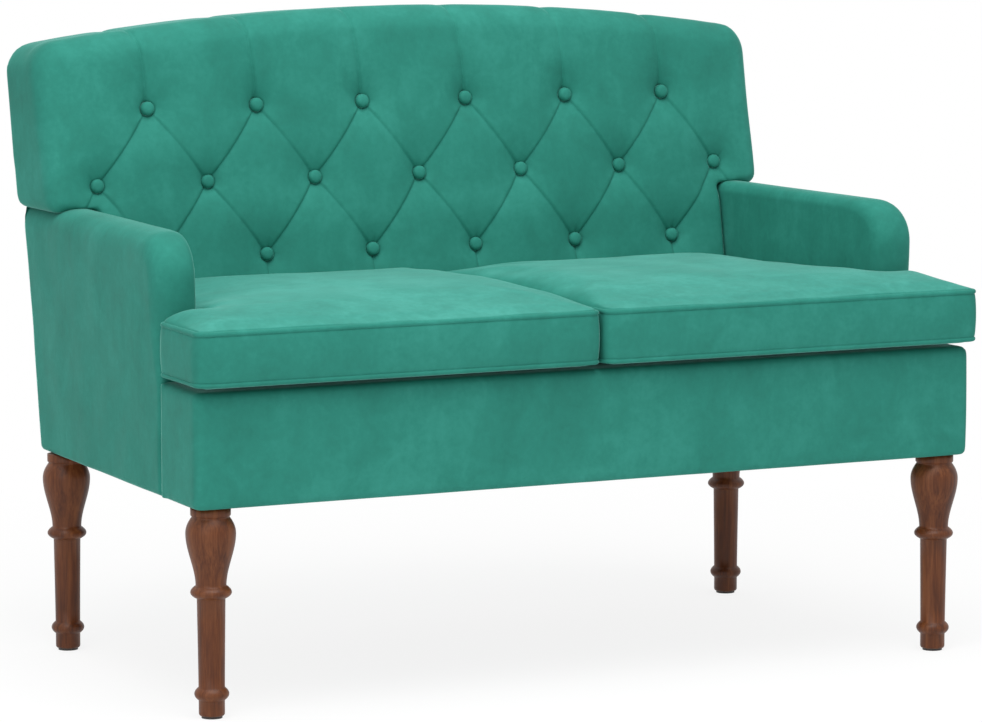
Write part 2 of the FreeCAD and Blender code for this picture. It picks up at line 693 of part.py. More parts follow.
def back_form(inset, bottom):
    """The back seen from the front: its head, and the narrower part between the arms."""
    body = seat_plan(BACK_GAP + inset, bottom, ARM_HEIGHT + 2 * EAR_CORNER)
    return back_head(inset).fuse(body).removeSplitter()


def plane_distance(point):
    """How far a point lies in front of the rear plane."""
    y = point.y - BACK_FOOT
    z = point.z - LEG_HEIGHT
    return -(y * math.cos(LEAN) - z * math.sin(LEAN))


def swell(start, end):
    """The place (out, up) where the flank between two places of a cutting form's section is fullest."""
    run = end[0] - start[0]
    rise = end[1] - start[1]
    out = (start[0] + end[0]) / 2 - PLEAT_FULLNESS * rise
    up = (start[1] + end[1]) / 2 + PLEAT_FULLNESS * run
    return out, up


def pleat(start, end, depth, half_width):
    """Form that cuts a sewn pleat between two places (across, up) on the back's front."""
    foot = Vector(start[0], -crest(start[0]), start[1])
    head = Vector(end[0], -crest(end[0]), end[1])
    along = head - foot
    direction = Vector(along)
    direction.normalize()
    out = Vector(0, -1, 0) - direction * Vector(0, -1, 0).dot(direction)
    out.normalize()
    across = direction.cross(out)

    def point(q, n):
        return foot + across * q + out * n

    rim = 2 * TOOL_RISE
    valley = (0, -depth)
    right = (half_width, TOOL_RISE)
    left = (-half_width, TOOL_RISE)
    edges = [
        arc(point(*valley), point(*swell(valley, right)), point(*right)),
        line(point(*right), point(half_width, rim)),
        line(point(half_width, rim), point(-half_width, rim)),
        line(point(-half_width, rim), point(*left)),
        arc(point(*left), point(*swell(left, valley)), point(*valley)),
    ]
    return Part.Face(Part.Wire(edges)).extrude(along)


def dimple(x, up):
    """Form that cuts the hollow round a button, with a flat for the button to seat on."""
    centre = Vector(x, -crest(x), up)

    def point(radius, n):
        return centre + Vector(radius, -n, 0)

    rim = 2 * TOOL_RISE
    flat_edge = (DIMPLE_FLAT, -DIMPLE_DEPTH)
    lip = (DIMPLE_RADIUS, TOOL_RISE)
    places = [(0, -DIMPLE_DEPTH), flat_edge, swell(flat_edge, lip), lip, (DIMPLE_RADIUS, rim), (0, rim)]
    edges = []
    for index, place in enumerate(places):
        edges.append(line(point(*places[index - 1]), point(*place)))
    return Part.Face(Part.Wire(edges)).revolve(centre, Vector(0, 1, 0), 360)


def button_rows():
    """Places (across, up) of the buttons, one list for each row."""
    rows = []
    for count, up in zip(BUTTON_COUNTS, BUTTON_ROWS):
        rows.append([((n - (count - 1) / 2) * BUTTON_PITCH, up) for n in range(count)])
    return rows


def tufting_forms():
    rows = button_rows()
    forms = [dimple(*place) for row in rows for place in row]
    for upper, lower in zip(rows, rows[1:]):
        for start in upper:
            for end in lower:
                if abs(start[0] - end[0]) < BUTTON_PITCH:
                    forms.append(pleat(start, end, PLEAT_DEPTH, PLEAT_HALF_WIDTH))
    above = (HEIGHT - LEG_HEIGHT) / math.cos(LEAN) + BACK_FRONT_EDGE
    for x, up in rows[0]:
        forms.append(pleat((x, up), (x, above), EDGE_PLEAT_DEPTH, EDGE_PLEAT_HALF_WIDTH))
    for x, up in rows[-1]:
        forms.append(pleat((x, 0), (x, up), EDGE_PLEAT_DEPTH, EDGE_PLEAT_HALF_WIDTH))
    last_x, last_up = rows[1][-1]
    notch = (last_x + EAR_PLEAT_RUN[0], last_up + EAR_PLEAT_RUN[1])
    forms.append(pleat((last_x, last_up), notch, EDGE_PLEAT_DEPTH, EDGE_PLEAT_HALF_WIDTH))
    forms.append(pleat((-last_x, last_up), (-notch[0], notch[1]), EDGE_PLEAT_DEPTH, EDGE_PLEAT_HALF_WIDTH))
    return [lean(form) for form in forms]


def tie_places():
    """Where each button seats, and where its tie meets the webbing behind the foam."""
    places = []
    for row in button_rows():
        for x, up in row:
            seat = Vector(x, -(crest(x) - DIMPLE_DEPTH), up)
            places.append((seat, Vector(x, -FOAM_REAR, up)))
    return places


def tie_holes():
    return [lean(cylinder(TIE_RADIUS + TIE_FIT, *place)) for place in tie_places()]


def make_back_cover():
    form = back_form(0, DECK_TOP + FIT)
    notch_limit = EAR_HALF_WIDTH - EAR_CORNER - FIT

    def at_notch(point):
        over_arm = abs(point.z - ARM_HEIGHT - FIT) < FIT / 2
        return over_arm and abs(point.y) < REACH / 2 and FIT < abs(point.x) < notch_limit

    def above_deck(point):
        return point.z > DECK_TOP + 2 * FIT

    def on_front(point):
        return above_deck(point) and abs(plane_distance(point) - crest(point.x)) < FIT

    def on_rear(point):
        return above_deck(point) and abs(plane_distance(point)) < FIT

    form = rounded(form, NOTCH_CORNER, at_notch)
    pad = form.common(crowned_slab())
    pad = rounded(pad, BACK_FRONT_EDGE, on_front)
    pad = rounded(pad, BACK_REAR_EDGE, on_rear)
    pocket = back_form(BACK_WRAP, DECK_TOP - OVERCUT).common(lean_slab(-OVERCUT, FOAM_FRONT))
    pad = pad.cut(pocket)
    for form in tufting_forms():
        pad = pad.cut(form)
    pad = pad.cut(tie_holes())
    keep("back_cover", pad)


def make_back_inside():
    inside = back_form(BACK_WRAP + FIT, RAIL_BOTTOM)
    skirt = seat_plan(BACK_GAP, RAIL_BOTTOM, DECK_TOP)
    panel = inside.fuse(skirt).common(lean_slab(0, OUTSIDE_PANEL))
    keep("back_outside_panel", panel.removeSplitter())
    foam = inside.common(lean_slab(FOAM_REAR, FOAM_FRONT)).common(band(DECK_TOP + FIT, HEIGHT))
    keep("back_foam", foam.cut(tie_holes()))

    timber = inside.common(lean_slab(OUTSIDE_PANEL, FRAME_FRONT))
    top_band = band(HEIGHT - TOP_ARCH - TOP_RAIL - TOP_CORNER - EAR_RAIL, HEIGHT)
    arch = Part.makeCylinder(arch_radius(), 4 * REACH, arch_centre(), Vector(0, 1, 0))
    top_rail = timber.cut(arch)
    keep("back_top_rail", top_rail.common(top_band))
    under_arch = timber.common(arch.translated(Vector(0, 0, -FIT)))

    inner_x_post = BACK_POST_OUTER - BACK_POST
    post = under_arch.common(box(inner_x_post, BACK_POST_OUTER, -REACH, REACH, 0, HEIGHT))
    keep_pair("back_post", post.cut(back_bolt_holes()))
    low_top = RAIL_BOTTOM + BOTTOM_RAIL
    low_rail = timber.common(box(-inner_x_post, inner_x_post, -REACH, REACH, RAIL_BOTTOM, low_top))
    keep("back_bottom_rail", low_rail)
    ear_outer = EAR_HALF_WIDTH - BACK_WRAP - FIT
    ear_low = ARM_HEIGHT + BACK_WRAP + 2 * FIT
    upright = under_arch.common(box(ear_outer - EAR_RAIL, REACH, -REACH, REACH, ear_low, HEIGHT))
    foot = under_arch.common(box(BACK_POST_OUTER, REACH, -REACH, REACH, ear_low, ear_low + EAR_RAIL))
    keep_pair("back_ear_frame", upright.fuse(foot).removeSplitter())

    half_widths = (ear_outer, ear_outer, BACK_POST_OUTER)
    straps = []
    for half, up in zip(half_widths, BUTTON_ROWS):
        low = up - WEBBING_WIDTH / 2
        strap = lean(box(-half, half, -FOAM_REAR, -FRAME_FRONT, low, low + WEBBING_WIDTH))
        straps.append(strap.common(inside))
    keep("back_webbing", *straps)

    bolts = []
    for seat in back_bolt_seats():
        piece = lean(bolt(seat, Vector(0, 1, 0), REAR_RAIL + BACK_BOLT_REACH))
        bolts.extend([piece, mirrored(piece)])
    keep("back_bolts", *bolts)


def arch_half():
    return EAR_HALF_WIDTH - BACK_WRAP - FIT


def arch_radius():
    """Radius of the underside of the arched top rail."""
    return (arch_half() ** 2 + TOP_ARCH ** 2) / (2 * TOP_ARCH)


def arch_centre():
    crown = HEIGHT - BACK_WRAP - FIT - TOP_RAIL
    return Vector(0, -2 * REACH, crown - arch_radius())


def make_buttons():
    top = BUTTON_RIM + BUTTON_DOME
    shoulder = (BUTTON_SHOULDER, BUTTON_SHOULDER_HEIGHT)
    places = [(0, 0), (BUTTON_RADIUS, 0), (BUTTON_RADIUS, BUTTON_RIM), shoulder, (0, top)]
    profile = []
    for index, (radius, height) in enumerate(places):
        start = places[index - 1]
        profile.append(line(Vector(start[0], 0, start[1]), Vector(radius, 0, height)))
    button = Part.Face(Part.Wire(profile)).revolve(Vector(), Vector(0, 0, 1), 360)
    button.rotate(Vector(), Vector(1, 0, 0), 90)
    buttons = []
    ties = []
    for seat, end in tie_places():
        buttons.append(lean(button.translated(seat)))
        ties.append(lean(cylinder(TIE_RADIUS, seat, end)))
    keep("tufting_buttons", *buttons)
    keep("button_ties", *ties)


def cushion_rear(z):
    """Where the cushion's rear stops at height z, just in front of the leaning back."""
    foot = BACK_FOOT + (z - LEG_HEIGHT) * math.tan(LEAN)
    return foot - BACK_THICKNESS / math.cos(LEAN) - CUSHION_GAP


def cushion_outline(inset, level, rear_level):
    """T-shaped half of the seat: a wing in front of the arm, and the part between arm and middle."""
    front = CUSHION_FRONT + inset
    rear = cushion_rear(rear_level) - inset
    wing_rear = APRON_REAR - CUSHION_GAP - inset
    middle = CUSHION_SPLIT + WELT_RADIUS + inset
    out = CUSHION_SIDE_OVERHANG - inset
    clear = CUSHION_GAP + inset
    corners = [
        (middle, front, CUSHION_CORNER - inset),
        (side_x(front) + out, front, CUSHION_FRONT_CORNER - inset),
        (side_x(wing_rear) + out, wing_rear, CUSHION_CORNER - inset),
        (inner_x(wing_rear) - clear, wing_rear, CUSHION_NOTCH + inset),
        (inner_x(rear) - clear, rear, CUSHION_CORNER - inset),
        (middle, rear, CUSHION_CORNER - inset),
    ]
    return outline(corners, on_level(level))


def crown_block(drop):
    """Everything under the cushion's crowned top, lowered by drop."""
    rear = cushion_rear(TOP_WELT)
    left = CUSHION_SPLIT + WELT_RADIUS - CUSHION_BULGE
    right = side_x(CUSHION_FRONT) + CUSHION_SIDE_OVERHANG + CUSHION_BULGE
    deep = rear - CUSHION_FRONT + 2 * CUSHION_BULGE
    sections = []
    for share, crown in CUSHION_CROWNS:
        y = CUSHION_FRONT - CUSHION_BULGE + share * deep
        edge_z = TOP_WELT + CROWN_AT_SIDES * crown - drop
        low = LEG_HEIGHT
        edges = [
            line(Vector(left, y, low), Vector(right, y, low)),
            line(Vector(right, y, low), Vector(right, y, edge_z)),
            arc(Vector(right, y, edge_z), Vector((left + right) / 2, y, TOP_WELT + crown - drop),
                Vector(left, y, edge_z)),
            line(Vector(left, y, edge_z), Vector(left, y, low)),
        ]
        sections.append(Part.Wire(edges))
    return Part.makeLoft(sections, True, False)


def cushion_core(inset, drop):
    floor = DECK_TOP + FIT + drop
    wall = Part.Face(cushion_outline(inset, floor, BOTTOM_WELT)).extrude(Vector(0, 0, REACH))
    return wall.common(crown_block(drop))


def welt(level):
    """Cord round the cushion, drawn with flats."""
    path = cushion_outline(0, level, level)
    start = path.Edges[1].Vertexes[0].Point
    along = path.Edges[1].tangentAt(path.Edges[1].FirstParameter)
    across = along.cross(Vector(0, 0, 1))
    rim = []
    for side in range(WELT_SIDES + 1):
        angle = 2 * math.pi * (side + 0.5) / WELT_SIDES
        out = across * (WELT_RADIUS * math.cos(angle))
        up = Vector(0, 0, WELT_RADIUS * math.sin(angle))
        rim.append(start + out + up)
    ordered = Part.Wire(path.Edges[1:] + path.Edges[:1])
    return ordered.makePipeShell([Part.makePolygon(rim)], True, False)


def welt_rebate(level):
    """Square rebate round the cushion, for a welt to lie in."""
    half = WELT_RADIUS + WELT_FIT
    low = level - half
    outside = Part.Face(cushion_outline(-WELT_RADIUS, low, level))
    inside = Part.Face(cushion_outline(half, low, level))
    return outside.cut(inside).extrude(Vector(0, 0, 2 * half))


def make_cushions():
    floor = DECK_TOP + FIT
    tuck = Part.makeLoft(
        [cushion_outline(CUSHION_COVER, floor, BOTTOM_WELT), cushion_outline(0, BOTTOM_WELT, BOTTOM_WELT)],
        True, True,
    )
    rings = []
    for step in range(BOXING_BANDS + 1):
        share = step / BOXING_BANDS
        level = BOTTOM_WELT + share * CUSHION_BOXING
        bulge = 4 * share * (1 - share) * CUSHION_BULGE
        rings.append(cushion_outline(-bulge, level, level))
    boxing = Part.makeLoft(rings, True, True)
    top = Part.Face(cushion_outline(0, TOP_WELT, TOP_WELT)).extrude(Vector(0, 0, CUSHION_BOXING))
    top = top.common(crown_block(0))
    cover = tuck.fuse([boxing, top]).removeSplitter()
    cover = cover.cut(cushion_core(CUSHION_COVER, CUSHION_COVER))
    for level in (BOTTOM_WELT, TOP_WELT):
        cover = cover.cut(welt_rebate(level))
    keep_pair("cushion_cover", cover)
    keep_pair("cushion_foam", cushion_core(CUSHION_COVER + FIT, CUSHION_COVER + FIT))
    keep_pair("cushion_top_welt", welt(TOP_WELT))
    keep_pair("cushion_bottom_welt", welt(BOTTOM_WELT))


def main():
    make_legs()
    make_apron()
    make_front_block()
    make_seat_box()
    make_seat_support()
    make_arms()
    make_back_cover()
    make_back_inside()
    make_buttons()
    make_cushions()
    os.makedirs("parts", exist_ok=True)
    for name, shape in NODES.items():
        shape.exportStep("parts/%s.step" % name)
        print(name, len(shape.Solids), shape.isValid(), round(shape.Volume), shape.BoundBox)


main()
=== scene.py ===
import json
import math

import bmesh
import bpy
import numpy as np
from mathutils import Matrix, Vector, noise


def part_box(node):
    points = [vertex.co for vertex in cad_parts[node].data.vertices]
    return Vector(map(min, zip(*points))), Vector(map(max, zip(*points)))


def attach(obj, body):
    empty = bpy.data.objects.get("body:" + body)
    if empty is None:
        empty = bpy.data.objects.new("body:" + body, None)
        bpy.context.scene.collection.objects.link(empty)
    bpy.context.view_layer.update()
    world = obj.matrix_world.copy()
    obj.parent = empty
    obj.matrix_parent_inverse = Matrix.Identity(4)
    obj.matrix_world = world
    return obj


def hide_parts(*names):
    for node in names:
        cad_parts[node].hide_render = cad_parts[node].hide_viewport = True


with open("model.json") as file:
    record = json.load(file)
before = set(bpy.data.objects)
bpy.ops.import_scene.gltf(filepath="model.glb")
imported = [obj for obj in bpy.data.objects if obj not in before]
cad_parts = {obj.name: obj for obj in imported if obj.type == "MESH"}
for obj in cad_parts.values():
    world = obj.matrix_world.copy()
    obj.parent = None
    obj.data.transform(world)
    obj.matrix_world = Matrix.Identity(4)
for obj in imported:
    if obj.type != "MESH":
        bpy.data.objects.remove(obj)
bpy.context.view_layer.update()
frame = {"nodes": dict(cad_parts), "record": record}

# The look of a two-seat settee in green velvet with a tufted back, loose cushions and turned legs.
# Sizes are in metres, in the frame of the CAD model. Left and right are as seen from the front.

# Places that come from the frame
APRON_LOW, APRON_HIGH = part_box("apron_cover")
ARM_LOW, ARM_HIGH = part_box("right_arm_cover")
BACK_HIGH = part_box("back_cover")[1]
CUSHION_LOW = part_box("right_cushion_cover")[0]
TOP_WELT_LOW, TOP_WELT_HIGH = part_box("right_cushion_top_welt")
BOTTOM_WELT_LOW, BOTTOM_WELT_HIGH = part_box("right_cushion_bottom_welt")
SHEET_LOW, SHEET_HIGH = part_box("dust_cover")
PANEL_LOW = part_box("back_outside_panel")[0]

BASE_BOTTOM = APRON_LOW.z
DECK_TOP = APRON_HIGH.z
APRON_FRONT = APRON_LOW.y
APRON_REAR = APRON_HIGH.y
HALF_WIDTH = APRON_HIGH.x
EAR_HALF_WIDTH = BACK_HIGH.x
CREST_TOP = BACK_HIGH.z

# Overall form. The rise is from the base up to the rearmost edge of the back.
SIDE_TAPER = math.radians(3.3)
BACK_LEAN = math.radians(9.0)
BACK_RISE = 0.618
BACK_FOOT = BACK_HIGH.y - BACK_RISE * math.tan(BACK_LEAN)

# Grids of the remeshed forms, and the radius of an edge that looks sharp
VOXEL = 0.005
FINE_VOXEL = 0.004
PANEL_VOXEL = 0.0035
SHARP_EDGE = 0.001

# Apron
APRON_CORNER = 0.012
APRON_LOW_EDGE = 0.008
APRON_TOP_EDGE = 0.011
APRON_SWELL = 0.002
APRON_UNEVEN = 0.0013

# Arms: the edge is the general one, the hem is along the base and the apron
ARM_DROP = 0.006
ARM_TOP = ARM_HIGH.z - ARM_DROP
ARM_THICKNESS = 0.060
ARM_NOSE = 0.060
ARM_EDGE = 0.022
ARM_CREST_EDGE = 0.014
ARM_OUTER_EDGE = 0.030
ARM_HEM = 0.006
ARM_FOOT_CORNER = 0.003
ARM_FLARE = 0.004
ARM_SWELL = 0.003
ARM_SPARE = 0.02
ARM_UNEVEN = 0.0012

# Back pad, with the shares of the ears' roll at the arm and at the top
BACK_THICKNESS = 0.156
BACK_CROWN = 0.020
BACK_GAP = 0.003
BACK_UNEVEN = 0.0016
BACK_FRONT_EDGE = 0.028
BACK_LOW_EDGE = 0.007
BACK_TOP_EDGE = 0.038
BACK_REAR_EDGE = 0.006
TOP_ARCH = 0.046
ARCH_STATIONS = 15
TOP_CORNER = 0.045
TOP_TILT = 0.010
TOP_NOTCH = 0.0035
NOTCH_REACH = 0.007
WAIST_CORNER = 0.004
EAR_CORNER = 0.018
EAR_TRIM = 0.006
EAR_TAPER = 0.004
EAR_ROLL = 0.009
EAR_ROLL_SHARES = (0.3, 1.7)
EAR_ROLL_SPAN = (0.48, 0.60)
EAR_SINK = 0.003
EAR_BEND = 0.535
EAR_BEND_RADIUS = 0.02
EAR_DROP = 0.008

# Panel behind the back
PANEL_MARGIN = 0.012
PANEL_THICKNESS = 0.004
PANEL_LAP = 0.002
PANEL_EDGE = 0.003
PANEL_ROOM = 0.004

# Buttons: each row's count and its height along the back, and the profile as shares of radius and height
BUTTON_PITCH = 0.1664
BUTTON_ROWS = ((6, 0.473), (7, 0.366), (6, 0.2585))
BUTTON_RADIUS = 0.0103
BUTTON_HEIGHT = 0.0135
BUTTON_TIP = 0.0005
BUTTON_SHAPE = (
    (0.86, 0.0), (1.0, 0.22), (0.99, 0.48), (0.95, 0.66), (0.87, 0.80),
    (0.74, 0.90), (0.55, 0.96), (0.30, 0.99), (0.0, 1.0),
)

# Tufting: hollows round the buttons, and pleats with a soft roll above and a tight lap below
DIMPLE_DEPTH = 0.020
HOLLOW_DEPTH = 0.0060
HOLLOW_REACH = 0.0100
BROAD_DEPTH = 0.0045
BROAD_REACH = 0.034
RING_INNER = 0.0092
RING_OUTER = 0.0119
RING_DEPTH = 0.0018
CREASE_DEPTH = 0.0042
CREASE_ROLL = 0.0085
CREASE_LAP = 0.0022
SAG_DEPTH = 0.0018
SAG_REACH = 0.030
PLEAT_REACH = 0.013
TOP_PLEAT_LEAN = 0.015
TOP_PLEAT_PAST = 0.01
FOOT_PLEAT = (1.4, 0.7, 0.4)
EAR_PLEAT = (0.9, 0.6, 0.2)
EAR_PLEAT_RUN = (0.035, -0.050)

# Cushions: crowns are shares of the depth and the rise there, falls are from and to across
WELT_RADIUS = 0.0035
WELT_SIDES = 12
WELT_UNEVEN = 0.05
SEAM_RAISE = 0.003
TOP_SEAM = (TOP_WELT_LOW.z + TOP_WELT_HIGH.z) / 2 + SEAM_RAISE
BOTTOM_SEAM = (BOTTOM_WELT_LOW.z + BOTTOM_WELT_HIGH.z) / 2 + SEAM_RAISE
SEAM_BAND = 0.005
SEAM_DEPTH = 0.006
CUSHION_GAP = 0.004
CUSHION_SPLIT = 0.0024
CUSHION_FORWARD = 0.006
CUSHION_FRONT = TOP_WELT_LOW.y + WELT_RADIUS - CUSHION_FORWARD
CUSHION_LIFT = 0.001
CUSHION_BOTTOM = CUSHION_LOW.z + CUSHION_LIFT
CUSHION_CORNER = 0.014
CUSHION_NOTCH = 0.010
CUSHION_CROWNS = ((0.0, 0.004), (0.06, 0.013), (0.2, 0.020), (0.5, 0.023), (0.8, 0.020), (1.0, 0.014))
CUSHION_UNEVEN = 0.0014
WING_FALL = (0.55, 0.62)
ARM_FALL = (0.34, 0.52)
ARM_FALL_DEPTH = 0.11
CROWN_LOST_AT_ARM = 0.42
CROWN_AT_TIP = 0.22
CROWN_REACH = 0.014
CORD_COVER = 0.0030
CORD_BURIED = 0.0026
BOXING_BULGE = 0.0022
BULGE_REACH = 0.016
UNDER_EDGE = 0.008
UNDER_TUCK = 0.008
UNDER_REACH = 0.030
PRESSURE_CAP = 0.006
NEIGHBOUR_ROOM = 0.0012

# Deck and dust sheet
DECK_THICKNESS = 0.013
DECK_EDGE = 0.003
DECK_SAG = 0.0012
DECK_REAR_GAP = 0.045
DECK_ROOM = 0.001
SHEET_INSET = 0.0065
SHEET_FRONT_INSET = 0.002
SHEET_REAR_INSET = 0.006
SHEET_CORNER = 0.018
SHEET_STEP = 0.012
SHEET_COLUMNS = 90
SHEET_UNEVEN = 0.0005


def side_x(y):
    """Half width over the outer sides."""
    return HALF_WIDTH - (y - APRON_FRONT) * math.tan(SIDE_TAPER)


def inner_x(y):
    """Half width between the arms."""
    return side_x(y) - ARM_THICKNESS / math.cos(SIDE_TAPER)


def rear_plane(z):
    """Where the rear plane of the back is at height z."""
    return BACK_FOOT + (z - BASE_BOTTOM) * math.tan(BACK_LEAN)


def smooth_step(value, low, high):
    share = np.clip((value - low) / (high - low), 0.0, 1.0)
    return share * share * (3.0 - 2.0 * share)


# Meshes


def new_object(name, points, faces, smooth=True):
    mesh = bpy.data.meshes.new(name)
    mesh.from_pydata([tuple(p) for p in points], [], faces)
    mesh.validate()
    if smooth:
        mesh.polygons.foreach_set("use_smooth", [True] * len(mesh.polygons))
    mesh.update()
    obj = bpy.data.objects.new(name, mesh)
    bpy.context.scene.collection.objects.link(obj)
    return obj


def coordinates(obj):
    values = np.empty(len(obj.data.vertices) * 3)
    obj.data.vertices.foreach_get("co", values)
    return values.reshape(-1, 3)


def set_coordinates(obj, points):
    obj.data.vertices.foreach_set("co", np.ascontiguousarray(points, dtype=float).ravel())
    obj.data.update()


def bake(obj):
    """Apply an object's modifiers to its own mesh."""
    graph = bpy.context.evaluated_depsgraph_get()
    graph.update()
    mesh = bpy.data.meshes.new_from_object(obj.evaluated_get(graph))
    obj.modifiers.clear()
    obj.data = mesh
    obj.data.polygons.foreach_set("use_smooth", [True] * len(obj.data.polygons))
    return obj


def remeshed(obj, voxel, relax):
    """Even quads over a closed form, relaxed so that no step of the grid is left."""
    grid = obj.modifiers.new("grid", "REMESH")
    grid.mode = "VOXEL"
    grid.voxel_size = voxel
    if relax:
        ease = obj.modifiers.new("ease", "SMOOTH")
        ease.factor = 0.5
        ease.iterations = relax
    return bake(obj)


def rounded_outline(corners, step):
    """Points round a closed outline of corners (u, v, radius), spaced by step."""
    trace = []
    count = len(corners)
    for index in range(count):
        here = Vector(corners[index][:2])
        radius = corners[index][2]
        back = (Vector(corners[index - 1][:2]) - here).normalized()
        ahead = (Vector(corners[(index + 1) % count][:2]) - here).normalized()
        if radius == 0:
            trace.append(here)
            continue
        half = back.angle(ahead) / 2
        centre = here + (back + ahead).normalized() * (radius / math.sin(half))
        enter = here + back * (radius / math.tan(half)) - centre
        turn = math.pi - 2 * half
        sense = -1 if back.x * ahead.y - back.y * ahead.x > 0 else 1
        pieces = max(3, int(radius * turn / step) + 1)
        for piece in range(pieces + 1):
            angle = sense * turn * piece / pieces
            spin = Matrix.Rotation(angle, 2)
            trace.append(centre + spin @ enter)
    points = []
    for index, start in enumerate(trace):
        end = trace[(index + 1) % len(trace)]
        runs = max(1, int((end - start).length / step))
        for run in range(runs):
            points.append(start.lerp(end, run / runs))
    return np.array(points)


def inward(points):
    """Unit normals of a closed anticlockwise outline, pointing inside."""
    ahead = np.roll(points, -1, axis=0) - points
    behind = points - np.roll(points, 1, axis=0)
    ahead /= np.linalg.norm(ahead, axis=1)[:, None]
    behind /= np.linalg.norm(behind, axis=1)[:, None]
    along = ahead + behind
    along /= np.linalg.norm(along, axis=1)[:, None]
    return np.stack([-along[:, 1], along[:, 0]], axis=1)


def capped_rings(rings, count):
    """Faces over rings of points, with a cap at either end."""
    faces = []
    for first in range(0, (rings - 1) * count, count):
        for index in range(count):
            after = (index + 1) % count
            faces.append((first + index, first + after, first + count + after, first + count + index))
    top = (rings - 1) * count
    faces.append(tuple(range(count - 1, -1, -1)))
    faces.append(tuple(range(top, top + count)))
    return faces


def slab(name, outline, low, high, low_round, high_round, place):
    """Closed pad over an outline, from low to high, its two rims rounded. Radii may vary round it."""
    normals = inward(outline)
    low_round = np.broadcast_to(low_round, len(outline))
    high_round = np.broadcast_to(high_round, len(outline))
    steps = np.linspace(0, math.pi / 2, 7)
    loops = []
    for level, sense, radius, angles in ((low, 1, low_round, steps), (high, -1, high_round, steps[::-1])):
        for angle in angles:
            loops.append((radius * (1 - np.sin(angle)), level + sense * radius * (1 - np.cos(angle))))
    points = []
    for inset, depth in loops:
        ring = outline + normals * inset[:, None]
        points.extend(place(u, v, d) for (u, v), d in zip(ring, depth))
    obj = new_object(name, points, capped_rings(len(loops), len(outline)))
    shell = bmesh.new()
    shell.from_mesh(obj.data)
    bmesh.ops.recalc_face_normals(shell, faces=shell.faces)
    shell.to_mesh(obj.data)
    shell.free()
    return obj


def tube(name, path, radius, sides=12, uneven=0.0):
    """Closed round cord along a level path."""
    path = np.asarray(path)
    along = np.roll(path, -1, axis=0) - np.roll(path, 1, axis=0)
    along /= np.linalg.norm(along, axis=1)[:, None]
    across = np.cross(along, np.array([0.0, 0.0, 1.0]))
    up = np.array([0.0, 0.0, 1.0])
    points = []
    for index, centre in enumerate(path):
        swell = 1 + uneven * noise.noise(Vector(centre) * 90.0)
        for side in range(sides):
            angle = 2 * math.pi * side / sides
            points.append(centre + radius * swell * (across[index] * math.cos(angle) + up * math.sin(angle)))
    faces = []
    count = len(path)
    for index in range(count):
        after = (index + 1) % count
        for side in range(sides):
            beside = (side + 1) % sides
            faces.append((index * sides + side, after * sides + side, after * sides + beside, index * sides + beside))
    return new_object(name, points, faces)


def turned(name, profile, axis_x, axis_y, sides=72):
    """Lathe a profile of (radius, height) pairs round an upright axis."""
    points = []
    for radius, height in profile:
        for side in range(sides):
            angle = 2 * math.pi * side / sides
            points.append((axis_x + radius * math.cos(angle), axis_y + radius * math.sin(angle), height))
    return new_object(name, points, capped_rings(len(profile), sides))


def joined(name, objects):
    """One object from several meshes."""
    merged = bmesh.new()
    for obj in objects:
        merged.from_mesh(obj.data)
        bpy.data.objects.remove(obj)
    mesh = bpy.data.meshes.new(name)
    merged.to_mesh(mesh)
    merged.free()
    mesh.polygons.foreach_set("use_smooth", [True] * len(mesh.polygons))
    obj = bpy.data.objects.new(name, mesh)
    bpy.context.scene.collection.objects.link(obj)
    return obj


def wave(points, scale, seed):
    """Smooth noise at each point, about from -1 to 1."""
    shift = Vector((seed * 7.3, seed * 3.1, seed * 5.7))
    return np.array([noise.noise(Vector(p) * scale + shift) for p in points])


def mirrored(obj, name):
    points = coordinates(obj) * np.array([-1.0, 1.0, 1.0])
    faces = [tuple(reversed(face.vertices)) for face in obj.data.polygons]
    return new_object(name, points, faces)


# Materials


